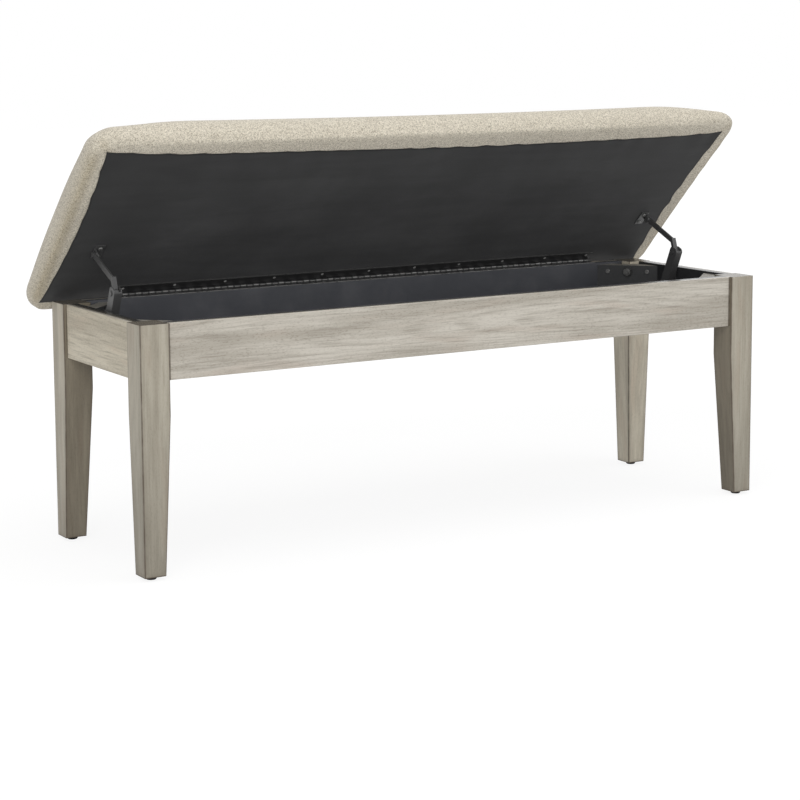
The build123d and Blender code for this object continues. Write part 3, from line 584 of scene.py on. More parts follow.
@dataclass(frozen=True)
class DustCloth:
    """Black spun cloth under the lid: matt, with fine fibres and paler lint, painted light towards the hinge,
    painted shade at the ends, painted light and shade of broad wrinkles, and painted shadow along the folded
    hem.
    """

    black: Colour = (0.0200, 0.0200, 0.0206)
    lint: Colour = (0.0380, 0.0382, 0.0390)
    hem_shadow: Colour = (0.0050, 0.0049, 0.0047)
    fibre_scale: Colour = (700.0, 420.0, 420.0)
    fibre_share: float = 0.45
    lint_scale: float = 7.0
    lint_share: float = 0.55
    lint_step: Span = (0.34, 0.72)
    wear: Span = (2.25, 0.80)
    heights: Span = (0.43, 0.67)
    end_shade: Span = (1.0, 0.28)
    end_shade_from: Span = (0.42, 0.64)
    crease_scale: Colour = (5.0, 30.0, 30.0)
    crease_step: Span = (0.3, 0.7)
    wrinkle_shading_gain: Span = (0.82, 1.18)
    gloss: Span = (0.72, 0.92)

    def material(self) -> bpy.types.Material:
        """The cloth as a material: painted light towards the hinge, painted shade at the ends, painted light
        and shade of broad wrinkles, and black painted shadow where the hem attribute is 1.

        Returns:
            The material.
        """
        graph = Graph("dust_cloth")
        place = graph.place()
        fibre = graph.noise(graph.scaled(place, self.fibre_scale), 1.0, 4.0, 0.7)
        cloud = graph.noise(place, self.lint_scale, 4.0, 0.55)
        mixed = graph.math("ADD", graph.share(fibre, self.fibre_share), graph.share(cloud, self.lint_share))
        tone = graph.blend(graph.step(mixed, *self.lint_step), self.black, self.lint)
        x, _, z = graph.split(place)
        # Painted light, brighter towards the hinge, and painted shade at both ends.
        worn = graph.span(z, *self.wear, *self.heights)
        end_shade = graph.span(graph.math("ABSOLUTE", x), *self.end_shade, *self.end_shade_from)
        # Painted light and shade of broad wrinkles.
        wrinkle_shading = graph.noise(graph.scaled(place, self.crease_scale), 1.0, 3.0, 0.55, 0.6)
        worn = graph.math("MULTIPLY", worn, graph.span(wrinkle_shading, *self.wrinkle_shading_gain, *self.crease_step))
        tone = graph.dimmed(tone, graph.math("MULTIPLY", worn, end_shade))
        # Painted shadow along the folded hem at the cloth's edge.
        tone = graph.blend(graph.attribute("hem_shadow"), tone, self.hem_shadow)
        return graph.surface(Base_Color=tone, Roughness=graph.span(fibre, *self.gloss),
                             Normal=graph.bump(fibre, 0.0003, 0.5), Sheen_Weight=0.08, Sheen_Roughness=0.6)


@dataclass(frozen=True)
class Metal:
    """Rolled or plated metal: a tint, with brushed variation in its gloss and scuffs where it is rubbed."""

    name: str
    tint: Colour
    scuff: Colour
    gloss: Span
    metallic: float = 1.0
    mottle_scale: float = 90.0
    scuff_scale: float = 420.0
    scuff_step: Span = (0.58, 0.80)
    scuff_share: float = 0.7

    def material(self) -> bpy.types.Material:
        """The metal as a material.

        Returns:
            The material.
        """
        graph = Graph(self.name)
        place = graph.place()
        mottle = graph.noise(place, self.mottle_scale, 4.0, 0.6)
        rubbed = graph.noise(place, self.scuff_scale, 3.0, 0.7)
        scuffs = graph.share(graph.step(rubbed, *self.scuff_step), self.scuff_share)
        return graph.surface(Base_Color=graph.blend(scuffs, self.tint, self.scuff), Metallic=self.metallic,
                             Roughness=graph.span(mottle, *self.gloss),
                             Normal=graph.bump(rubbed, 0.00008, 0.35))


@dataclass(frozen=True)
class HingeSteel:
    """Black piano hinge with a painted highlight on one side of each knuckle, and bright free edges on the
    leaves that are partly rubbed metal and partly painted highlight.
    """

    black: Colour = (0.0340, 0.0340, 0.0346)
    bright: Colour = (0.270, 0.268, 0.262)
    axis_y: float = 0.177
    axis_z: float = 0.409
    knuckle: float = 0.0034
    knuckle_fade: float = 0.0004
    knuckle_highlight_share: float = 0.90
    knuckle_gap: Span = (0.30, 0.42)
    knuckle_highlight_side: Span = (-0.55, -0.05)
    leaf: float = 0.0212
    rim: Span = (0.0016, 0.0008)
    half_length: float = 0.497
    knuckles: int = 79
    wear_scale: Colour = (160.0, 500.0, 500.0)
    wear_step: Span = (0.25, 0.55)
    gloss: Span = (0.30, 0.46)

    def material(self, name: str, edge_wear_and_highlight: float, highlight_lean: float) -> bpy.types.Material:
        """Makes the metal.

        The distance from the pin tells the knuckles from the leaf and its edge. Along the hinge, each knuckle
        carries a painted highlight in the middle, on one side only, and is dark at the gaps beside it.

        Args:
            name: Name of the material.
            edge_wear_and_highlight: How much of the free edge is bright, from 0 to 1: partly rubbed metal,
                partly painted highlight.
            highlight_lean: 1 where the knuckles carry their painted highlight on the upper side, -1 on the
                lower side.

        Returns:
            The material.
        """
        graph = Graph(name)
        place = graph.place()
        facing_z = graph.split(graph.facing())[2]
        x, y, z = graph.split(place)
        off_y, off_z = graph.math("SUBTRACT", y, self.axis_y), graph.math("SUBTRACT", z, self.axis_z)
        squares = graph.math("ADD", graph.math("POWER", off_y, 2.0), graph.math("POWER", off_z, 2.0))
        reach = graph.math("SQRT", squares)
        rolled = graph.step(reach, self.knuckle - self.knuckle_fade, self.knuckle + self.knuckle_fade)
        rolled = graph.rest_of(rolled)
        rim = graph.step(reach, *(self.leaf - inset for inset in self.rim))
        wear = graph.noise(graph.scaled(place, self.wear_scale), 1.0, 3.0, 0.6)
        # Painted highlight on each knuckle, in its middle and on one side only.
        per_metre = self.knuckles / (2 * self.half_length)
        count = graph.math("MULTIPLY", graph.math("ADD", x, self.half_length), per_metre)
        from_middle = graph.math("ABSOLUTE", graph.math("SUBTRACT", graph.math("FRACT", count), 0.5))
        between = graph.rest_of(graph.step(from_middle, *self.knuckle_gap))
        side = graph.step(graph.math("MULTIPLY", facing_z, highlight_lean), *self.knuckle_highlight_side)
        rolled = graph.share(graph.share(rolled, between), side)
        # Bright free edges: partly rubbed metal, partly painted highlight.
        rim = graph.share(graph.share(rim, graph.step(wear, *self.wear_step)), edge_wear_and_highlight)
        bare = graph.math("MAXIMUM", graph.share(rolled, self.knuckle_highlight_share), rim)
        tone = graph.blend(bare, self.black, self.bright)
        return graph.surface(Base_Color=tone, Metallic=bare, Roughness=graph.span(wear, *self.gloss),
                             Normal=graph.bump(wear, 0.00006, 0.35))


@dataclass(frozen=True)
class Nylon:
    """Black moulded nylon, faintly grained."""

    black: Colour = (0.008, 0.008, 0.0085)
    worn: Colour = (0.018, 0.0177, 0.0174)
    worn_step: Span = (0.50, 0.80)
    grain_scale: float = 900.0
    gloss: Span = (0.50, 0.66)

    def material(self) -> bpy.types.Material:
        """The nylon as a material.

        Returns:
            The material.
        """
        graph = Graph("glide_nylon")
        grain = graph.noise(graph.place(), self.grain_scale, 3.0, 0.6)
        tone = graph.blend(graph.step(grain, *self.worn_step), self.black, self.worn)
        return graph.surface(Base_Color=tone, Roughness=graph.span(grain, *self.gloss),
                             Specular_IOR_Level=0.12, Normal=graph.bump(grain, 0.0001, 0.4))


@dataclass(frozen=True)
class Plywood:
    """Raw plywood of the lid board, with its veneers at the edge."""

    face: Colour = (0.560, 0.430, 0.285)
    figure: Colour = (0.430, 0.310, 0.190)
    figure_step: Span = (0.35, 0.70)
    grain_scale: Colour = (4.0, 90.0, 90.0)
    gloss: Span = (0.55, 0.72)

    def material(self) -> bpy.types.Material:
        """The plywood as a material.

        Returns:
            The material.
        """
        graph = Graph("lid_plywood")
        grain = graph.noise(graph.scaled(graph.place(), self.grain_scale), 1.0, 4.0, 0.6, 0.8)
        tone = graph.blend(graph.step(grain, *self.figure_step), self.face, self.figure)
        return graph.surface(Base_Color=tone, Roughness=graph.span(grain, *self.gloss),
                             Normal=graph.bump(grain, 0.0003, 0.4))


@dataclass(frozen=True)
class LidFrame:
    """The open lid's own frame, from the hinge pin.

    X runs along the bench, y to the lid's rear and z out of its top. Open_deg is how far the lid stands open.
    """

    hinge_y: float = 0.177
    hinge_z: float = 0.409
    open_deg: float = 44.0

    def to_bench(self, points: np.ndarray) -> np.ndarray:
        """Turns points from the lid's frame about the hinge pin, and moves them there.

        Args:
            points: Rows of x, y, z in the lid's frame.

        Returns:
            The same points in the bench's frame.
        """
        turn = math.radians(self.open_deg)
        x, y, z = points.T
        back = self.hinge_y + y * math.cos(turn) + z * math.sin(turn)
        up = self.hinge_z - y * math.sin(turn) + z * math.cos(turn)
        return np.stack([x, back, up], axis=1)


def mesh_of(name: str, points: np.ndarray, faces: list) -> bpy.types.Mesh:
    """Makes a smooth mesh.

    Args:
        name: Name of the mesh.
        points: Rows of x, y, z.
        faces: Corner numbers of each face.

    Returns:
        The mesh.
    """
    mesh = bpy.data.meshes.new(name)
    mesh.from_pydata(points.tolist(), [], faces)
    mesh.shade_smooth()
    mesh.update()
    return mesh


def points_of(mesh: bpy.types.Mesh) -> np.ndarray:
    """Reads a mesh's points.

    Args:
        mesh: The mesh.

    Returns:
        Rows of x, y, z.
    """
    flat = np.empty(3 * len(mesh.vertices), np.float32)
    mesh.vertices.foreach_get("co", flat)
    return flat.reshape(-1, 3).astype(float)


def grid_quads(rows: int, columns: int, closed: bool = False) -> np.ndarray:
    """Faces of a grid.

    Args:
        rows: Number of rows of points.
        columns: Number of points in a row.
        closed: True when each row runs round to its own start.

    Returns:
        Rows of four corner numbers, with the points numbered row by row.
    """
    across = columns if closed else columns - 1
    row, column = np.meshgrid(np.arange(rows - 1), np.arange(across), indexing="ij")
    after = (column + 1) % columns
    corners = [row * columns + column, row * columns + after,
               (row + 1) * columns + after, (row + 1) * columns + column]
    return np.stack(corners, axis=-1).reshape(-1, 4)


def link(name: str, mesh: bpy.types.Mesh, material: bpy.types.Material) -> bpy.types.Object:
    """Puts a mesh with its material into the scene as an object at the origin.

    Args:
        name: Name of the object.
        mesh: Its mesh.
        material: Its finish.

    Returns:
        The object.
    """
    piece = bpy.data.objects.new(name, mesh)
    mesh.materials.append(material)
    bpy.context.scene.collection.objects.link(piece)
    return piece


@dataclass(frozen=True)
class Seat:
    """The padded lid: a crowned form in fabric, drawn round under its edges, with a dust cover below.

    Lengths named inset are measured in from the seat's outline, and those named rise up from its underside.
    Base is the underside's height in the lid's frame.
    """

    lid: LidFrame = field(default_factory=LidFrame)
    half_length: float = 0.640
    ends: Span = (-0.6450, 0.6395)
    left_splay: float = 0.002
    front_reach: float = 0.397
    rear_reach: float = 0.043
    base: float = 0.0036
    edge_height: float = 0.0572
    crown: float = 0.0095
    crown_flat: float = 0.004
    lower_inset: float = 0.016
    lower_rise: float = 0.030
    lower_start_deg: float = 25.0
    upper_radius: float = 0.027
    upper_end_deg: float = 80.0
    corner_radius: float = 0.045
    corner_droop: Span = (0.020, 0.040)
    droop_reach: float = 0.190
    least_corner: float = 0.012
    least_half: float = 0.001
    side_draw: float = 0.005
    end_draw: float = 0.0005
    slack: float = 0.0025
    voxel: float = 0.0075
    tack_inset: float = 0.0135
    tack_rise: float = 0.002
    cloth_steps: int = 20
    pressure: float = 4.0
    swell_cap: float = 0.0035
    end_start: float = 0.013
    side_start: float = 0.5
    front_from: float = 0.2
    pucker_pitch: float = 0.046
    pucker_depth: float = 0.0014
    pucker_rise: float = 0.016
    pucker_inset: float = 0.010
    fold_lift: float = 0.0022
    fold_width: float = 0.0045
    fold_reach: float = 0.085
    tuck_shade_rise: float = 0.017
    tuck_shade_inset: Span = (0.008, 0.017)
    tuck_shade_corner: float = 0.020
    tuck_shade_fade: float = 0.030
    tuck_shade_width: float = 0.009
    tuck_shade_reach: float = 0.10
    tuck_shade_share: float = 0.9

    @property
    def half_depth(self) -> float:
        """Half the seat's depth from front to back."""
        return (self.front_reach + self.rear_reach) / 2

    @property
    def middle(self) -> float:
        """Where the middle of the seat's depth lies, from the hinge pin."""
        return (self.rear_reach - self.front_reach) / 2

    def profile(self) -> tuple[np.ndarray, np.ndarray]:
        """Side profile of the form, from the underside to the crown.

        Part of an ellipse draws the side in towards the underside, an arc rolls over the upper edge, and a
        parabola carries the crown from there to the middle. The form is drawn in by the slack that the
        swelling takes up.

        Returns:
            Inset from the outline, and height above the hinge pin.
        """
        low = np.radians(np.linspace(self.lower_start_deg, 90.0, 11))
        high = np.radians(np.linspace(0.0, self.upper_end_deg, 11))
        reach = self.base + self.edge_height - self.slack
        inset = np.concatenate([
            self.lower_inset * (1 - np.sin(low)),
            self.upper_radius * (1 - np.cos(high)),
        ])
        height = np.concatenate([
            self.base + self.lower_rise * (np.cos(low[0]) - np.cos(low)),
            reach - self.upper_radius * (1 - np.sin(high)),
        ])
        share = np.linspace(0.0, 1.0, 25)[1:]
        run = self.half_depth - self.crown_flat - inset[-1]
        rise = reach + self.crown - height[-1]
        inset = np.concatenate([inset, inset[-1] + run * share])
        height = np.concatenate([height, height[-1] + rise * (1 - (1 - share) ** 2)])
        return inset + self.slack, height

    def outlines(self, inset: np.ndarray, run: int = 60, arc: int = 14) -> np.ndarray:
        """Rounded rectangles whose sides are drawn in between their corners, one for each inset.

        A point t of the way along a side is drawn in by draw * (1 - (2t - 1)^2). A point on a corner is the
        corner's centre plus its radius times the cosine and sine of its angle.

        Args:
            inset: Inset of each outline from the seat's own.
            run: Points on each side.
            arc: Points on each corner.

        Returns:
            One row of x, y points for each inset, anticlockwise from the front left.
        """
        half_x = (self.half_length - inset)[:, None]
        half_y = np.maximum(self.half_depth - inset, self.least_half)[:, None]
        corner = np.minimum(np.maximum(self.corner_radius - inset, self.least_corner)[:, None], half_y)
        run_x, run_y = half_x - corner, half_y - corner
        t = np.linspace(0.0, 1.0, run, endpoint=False)[None]
        turn = np.radians(np.linspace(0.0, 90.0, arc, endpoint=False))[None]
        dip = 1 - (2 * t - 1) ** 2
        drawn_x = half_x - np.minimum(self.end_draw, half_x / 4) * dip
        drawn_y = half_y - np.minimum(self.side_draw, half_y / 4) * dip
        cos, sin = corner * np.cos(turn), corner * np.sin(turn)
        x = [run_x * (2 * t - 1), run_x + sin, drawn_x, run_x + cos,
             run_x * (1 - 2 * t), -run_x - sin, -drawn_x, -run_x - cos]
        y = [-drawn_y, -run_y - cos, run_y * (2 * t - 1), run_y + sin,
             drawn_y, run_y + cos, run_y * (1 - 2 * t), -run_y - sin]
        return np.stack([np.concatenate(x, axis=1), np.concatenate(y, axis=1)], axis=-1)

    def blank(self) -> bpy.types.Mesh:
        """The closed form before it is filled, in the lid's frame: outlines stacked up along the profile.

        Returns:
            The mesh.
        """
        inset, height = self.profile()
        rings = self.outlines(inset)
        rows, columns = rings.shape[:2]
        level = np.broadcast_to(height[:, None, None], (rows, columns, 1))
        points = np.concatenate([rings, level], axis=-1).reshape(-1, 3)
        points = points + np.array([0.0, self.middle, 0.0])
        faces = grid_quads(rows, columns, closed=True).tolist()
        faces.append(list(range(columns))[::-1])
        faces.append(list(range((rows - 1) * columns, rows * columns)))
        return mesh_of("seat_blank", points, faces)

    def even_mesh(self) -> bpy.types.Mesh:
        """The blank with a new mesh of even small squares.

        Returns:
            The mesh.
        """
        holder = bpy.data.objects.new("seat_blank", self.blank())
        bpy.context.scene.collection.objects.link(holder)
        remesh = holder.modifiers.new("even", "REMESH")
        remesh.mode = "VOXEL"
        remesh.voxel_size = self.voxel
        graph = bpy.context.evaluated_depsgraph_get()
        even = bpy.data.meshes.new_from_object(holder.evaluated_get(graph))
        bpy.data.objects.remove(holder)
        return even

    def edge_places(self, points: np.ndarray) -> tuple[np.ndarray, np.ndarray, np.ndarray]:
        """Where points lie by the seat's outline.

        Args:
            points: Rows of x, y, z in the lid's frame.

        Returns:
            Distance in from the nearest side, distance along that side, and distance in from the next one.
        """
        in_x = self.half_length - np.abs(points[:, 0])
        in_y = self.half_depth - np.abs(points[:, 1] - self.middle)
        along_side = points[:, 0] + self.side_start * np.sign(points[:, 1] + self.front_from)
        along = np.where(in_x < in_y, points[:, 1] + self.end_start, along_side)
        return np.minimum(in_x, in_y), along, np.maximum(in_x, in_y)

    def swell(self, mesh: bpy.types.Mesh) -> np.ndarray:
        """Fills the form: cloth under pressure, held where it is tacked under the board.

        No point moves further than the cap, as foam fills a cover and no more.

        Args:
            mesh: The even mesh, in the lid's frame.

        Returns:
            The mesh's points after filling.
        """
        start = points_of(mesh)
        inner = self.edge_places(start)[0] > self.tack_inset
        tacked = (start[:, 2] < self.base + self.tack_rise) & inner
        holder = bpy.data.objects.new("seat_filling", mesh)
        scene = bpy.context.scene
        scene.collection.objects.link(holder)
        holder.vertex_groups.new(name="tacked").add(np.flatnonzero(tacked).tolist(), 1.0, "REPLACE")
        cloth = holder.modifiers.new("cloth", "CLOTH")
        cloth.settings.quality = 4
        cloth.settings.mass = 0.3
        cloth.settings.tension_stiffness = 15.0
        cloth.settings.compression_stiffness = 15.0
        cloth.settings.shear_stiffness = 5.0
        cloth.settings.bending_stiffness = 0.5
        cloth.settings.use_pressure = True
        cloth.settings.uniform_pressure_force = self.pressure
        cloth.settings.effector_weights.gravity = 0.0
        cloth.settings.vertex_group_mass = "tacked"
        cloth.point_cache.frame_start = 1
        cloth.point_cache.frame_end = self.cloth_steps
        for step in range(1, self.cloth_steps + 1):
            scene.frame_set(step)
        graph = bpy.context.evaluated_depsgraph_get()
        filled = points_of(holder.evaluated_get(graph).data)
        bpy.data.objects.remove(holder)
        scene.frame_set(1)
        moved = filled - start
        far = np.maximum(np.linalg.norm(moved, axis=1, keepdims=True), 1e-9)
        return start + moved * np.minimum(1.0, self.swell_cap / far)

    def fitted(self, points: np.ndarray) -> np.ndarray:
        """Stretches the filled form a little along each axis, so that it takes up the seat's own box.

        The flat underside stays where it is, and the rolled edge may hang below it. The left end is pulled
        out of square: it runs out by the splay towards the rear.

        Args:
            points: Rows of x, y, z in the lid's frame.

        Returns:
            The stretched points.
        """
        low, high = points.min(axis=0), points.max(axis=0)
        low[2] = self.base
        want_low = np.array([self.ends[0], -self.front_reach, self.base])
        want_high = np.array([self.ends[1], self.rear_reach, self.base + self.edge_height + self.crown])
        fitted = want_low + (points - low) * (want_high - want_low) / (high - low)
        to_left = np.clip(-fitted[:, 0] / self.half_length, 0.0, 1.0)
        to_rear = (fitted[:, 1] + self.front_reach) / (2 * self.half_depth)
        fitted[:, 0] -= self.left_splay * to_left * to_rear
        return fitted

    def drooped(self, points: np.ndarray) -> np.ndarray:
        """Lets the padding fall away towards the four corners.

        With d the distance from the corner of the outline, the fall is droop * (1 - d / reach)^2 at the top
        of the padding, and less below it, down to nothing at the underside. The right corners are pulled down
        more.

        Args:
            points: Rows of x, y, z in the lid's frame.

        Returns:
            The lowered points.
        """
        inward, _, other = self.edge_places(points)
        near = np.clip(1.0 - np.hypot(inward, other) / self.droop_reach, 0.0, 1.0)
        high = np.clip((points[:, 2] - self.base) / self.edge_height, 0.0, 1.0)
        lowered = points.copy()
        lowered[:, 2] -= np.where(points[:, 0] < 0.0, *self.corner_droop) * near**2 * high
        return lowered

    def puckered(self, points: np.ndarray) -> np.ndarray:
        """Draws the fabric up between the tacks of the underside, and folds it at the corners.

        Between the edge and the tacks the fabric rises and falls as a cosine along the side, most in the
        middle of that strip. Slow sines vary its pitch and depth. At a corner a fold runs in along the
        diagonal, as a narrow bell curve across it. Inside the line of tacks the fabric lies flat under the
        board.

        Args:
            points: Rows of x, y, z in the lid's frame.

        Returns:
            The moved points.
        """
        inward, along, other = self.edge_places(points)
        under = np.clip((self.base + self.pucker_rise - points[:, 2]) / self.pucker_rise, 0.0, 1.0)
        strip = np.clip(1.0 - np.abs(inward - self.pucker_inset) / self.pucker_inset, 0.0, 1.0) * under
        sway = 0.006 * np.sin(37.0 * along) + 0.004 * np.sin(83.0 * along + 1.3)
        wave = 0.5 + 0.5 * np.cos(2 * math.pi * (along + sway) / self.pucker_pitch)
        strength = 0.65 + 0.35 * np.sin(23.0 * along + 0.7)
        lift = self.pucker_depth * strip * wave * strength
        across = (other - inward) / math.sqrt(2.0)
        near = np.clip(1.0 - (inward + other) / self.fold_reach, 0.0, 1.0)
        fold = np.exp(-((across / self.fold_width) ** 2)) * near * under
        drawn = points.copy()
        drawn[:, 2] += lift + self.fold_lift * fold
        flat = (inward > self.tack_inset) & (points[:, 2] < self.base + self.pucker_rise / 2)
        drawn[flat, 2] = self.base
        return drawn

    def tuck_shaded(self, points: np.ndarray) -> np.ndarray:
        """How much painted shade lies where the fabric is drawn in, from 0 to 1.

        Along the two ends it grows down the lower roll and ends at the flat strip by the dust cover, as a
        straight ramp in height times one in the distance from the end. At each corner it is a bell curve
        across the fold.

        Args:
            points: Rows of x, y, z in the lid's frame.

        Returns:
            One value for each point.
        """
        inward, _, other = self.edge_places(points)
        in_x = self.half_length - np.abs(points[:, 0])
        low = np.clip(1.0 - (points[:, 2] - self.base) / self.tuck_shade_rise, 0.0, 1.0)
        full, none = self.tuck_shade_inset
        strip = np.clip((none - in_x) / (none - full), 0.0, 1.0)
        strip = strip * np.clip((other - self.tuck_shade_corner) / self.tuck_shade_fade, 0.0, 1.0)
        near = np.clip(1.0 - (inward + other) / self.tuck_shade_reach, 0.0, 1.0)
        fold = np.exp(-(((other - inward) / self.tuck_shade_width) ** 2)) * near
        return np.maximum(strip, self.tuck_shade_share * fold) * low

    def fabric(self, material: bpy.types.Material) -> bpy.types.Object:
        """Builds the padded fabric form, which stands for the cover and the foam in it.

        Args:
            material: The fabric.

        Returns:
            The piece.
        """
        mesh = self.even_mesh()
        faces = np.empty(4 * len(mesh.polygons), np.int32)
        mesh.polygons.foreach_get("vertices", faces)
        points = self.swell(mesh.copy())
        points = self.puckered(self.drooped(self.fitted(points)))
        form = mesh_of("seat_fabric_form", self.lid.to_bench(points), faces.reshape(-1, 4).tolist())
        # Painted shade for the tweed where the fabric is drawn in.
        tuck_shade = self.tuck_shaded(points).astype(np.float32)
        form.attributes.new("tuck_shade", "FLOAT", "POINT").data.foreach_set("value", tuck_shade)
        piece = link("seat_fabric_form", form, material)
        smooth = piece.modifiers.new("even", "SUBSURF")
        smooth.levels = smooth.render_levels = 1
        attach(piece, "lid")
        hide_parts("seat_cover", "seat_foam")
        return piece


@dataclass(frozen=True)
class DustCover:
    """Black cloth tacked under the lid: its edges are drawn in between the tacks, and it ripples near them.

    Left and right give each end's place at the front and at the rear, and front its place at the left and at
    the right. Bracket is the place of the right stay's bracket, round which the cloth lies flat, as by the
    hinge.
    """

    lid: LidFrame = field(default_factory=LidFrame)
    left: Span = (-0.621, -0.630)
    right: Span = (0.611, 0.614)
    front: Span = (-0.373, -0.366)
    rear: float = 0.012
    left_bow: float = 0.0120
    right_bow: float = 0.0090
    front_bow: float = 0.0075
    front_sag: float = 0.0095
    rear_bow: float = 0.004
    level: float = 0.0033
    thickness: float = 0.0006
    tack_pitch: float = 0.056
    scallop: float = 0.0030
    ripple: float = 0.0011
    front_fade: float = 0.035
    end_fade: float = 0.030
    sway: float = 0.01
    bracket: Span = (0.5615, -0.1205)
    bracket_clear: float = 0.032
    hinge_clear: float = 0.036
    clear_fade: float = 0.03
    hem_shadow_width: float = 0.0036
    hem_shadow_fade: float = 0.0012
    columns: int = 400
    rows: int = 130

    def scallops(self, along: np.ndarray, seed: float) -> np.ndarray:
        """How far an edge is drawn in at a distance along it.

        The edge hangs between tacks as the absolute sine of the distance. Slow sines vary depth and pitch.

        Args:
            along: Distance along the edge.
            seed: Offset that makes each edge its own.

        Returns:
            The depth of the edge's curve.
        """
        shifted = along + 0.008 * np.sin(19.0 * along + seed) + seed
        depth = self.scallop * (0.6 + 0.4 * np.sin(11.0 * along + 2.1 * seed))
        return depth * np.abs(np.sin(math.pi * shifted / self.tack_pitch))

    @staticmethod
    def shares(count: int) -> np.ndarray:
        """Shares from 0 to 1, closer at both ends: t less a small part of the sine of its full turn."""
        even = np.linspace(0.0, 1.0, count)
        return even - 0.13 * np.sin(2 * math.pi * even)

    def points(self) -> tuple[np.ndarray, np.ndarray]:
        """Points of the cloth, row by row from its front edge, in the lid's frame.

        The grid is stretched between four scalloped edges, bowed as 1 - u^2 with u from -1 to 1. The front
        edge is also bowed as 1 - u^8, so that its corners stand out as ears. Ripples run in from the tacks as
        a cosine along the edge, and die out with the distance from it. Broad waves are made of slow sines.

        Returns:
            Rows of x, y, z, and how much painted shadow of the folded hem lies on each point, from 0 to 1.
        """
        s, t = self.shares(self.columns)[None], self.shares(self.rows)[:, None]
        along_x = self.left[0] + (self.right[0] - self.left[0]) * s
        front = self.front[0] + (self.front[1] - self.front[0]) * s
        front = front + self.front_bow * (1 - (2 * s - 1) ** 8) + self.scallops(along_x, 0.4)
        front = front + self.front_sag * (1 - (2 * s - 1) ** 2)
        rear = self.rear - self.rear_bow * (1 - (2 * s - 1) ** 2) - self.scallops(along_x, 1.7)
        y = front + (rear - front) * t
        dip = 1 - (2 * t - 1) ** 2
        left = self.left[0] + (self.left[1] - self.left[0]) * t
        left = left + self.left_bow * dip + self.scallops(y, 2.9)
        right = self.right[0] + (self.right[1] - self.right[0]) * t
        right = right - self.right_bow * dip - self.scallops(y, 4.3)
        x = left + (right - left) * s
        from_front, from_end = y - front, np.minimum(x - left, right - x)
        by_front = np.cos(2 * math.pi * (x + self.sway * np.sin(31 * x)) / self.tack_pitch)
        by_end = np.cos(2 * math.pi * (y + self.sway * np.sin(43 * y)) / self.tack_pitch)
        ripple = np.exp(-from_front / self.front_fade) * by_front + np.exp(-from_end / self.end_fade) * by_end
        broad = np.sin(9.0 * x + 14.0 * y) * np.sin(21.0 * y - 4.0 * x)
        broad = broad + 0.6 * np.sin(17.0 * x - 25.0 * y + 1.0)
        from_bracket = np.hypot(np.abs(x) - self.bracket[0], y - self.bracket[1])
        clear = np.clip((-self.hinge_clear - y) / self.clear_fade, 0.0, 1.0)
        clear = clear * np.clip((from_bracket - self.bracket_clear) / self.clear_fade, 0.0, 1.0)
        sag = self.ripple * (0.55 * ripple + 0.30 * broad + 0.55)
        z = self.level - np.clip(sag, 0.0, None) * clear
        nearest = np.minimum(np.minimum(from_front, rear - y), from_end)
        # Painted shadow along the folded hem at the cloth's edge, from 0 to 1.
        hem_shadow = np.clip((self.hem_shadow_width - nearest) / self.hem_shadow_fade, 0.0, 1.0)
        return np.stack([x, y, z], axis=-1).reshape(-1, 3), hem_shadow.reshape(-1)

    def cloth(self, material: bpy.types.Material) -> bpy.types.Object:
        """Builds the cloth.

        Args:
            material: The black cloth.

        Returns:
            The piece.
        """
        quads = grid_quads(self.rows, self.columns)[:, ::-1]
        points, hem_shadow = self.points()
        mesh = mesh_of("dust_cloth", self.lid.to_bench(points), quads.tolist())
        mesh.attributes.new("hem_shadow", "FLOAT", "POINT").data.foreach_set("value", hem_shadow.astype(np.float32))
        piece = link("dust_cloth", mesh, material)
        wall = piece.modifiers.new("thickness", "SOLIDIFY")
        wall.thickness = self.thickness
        wall.offset = 0.0
        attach(piece, "lid")
        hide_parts("dust_cover")
        return piece


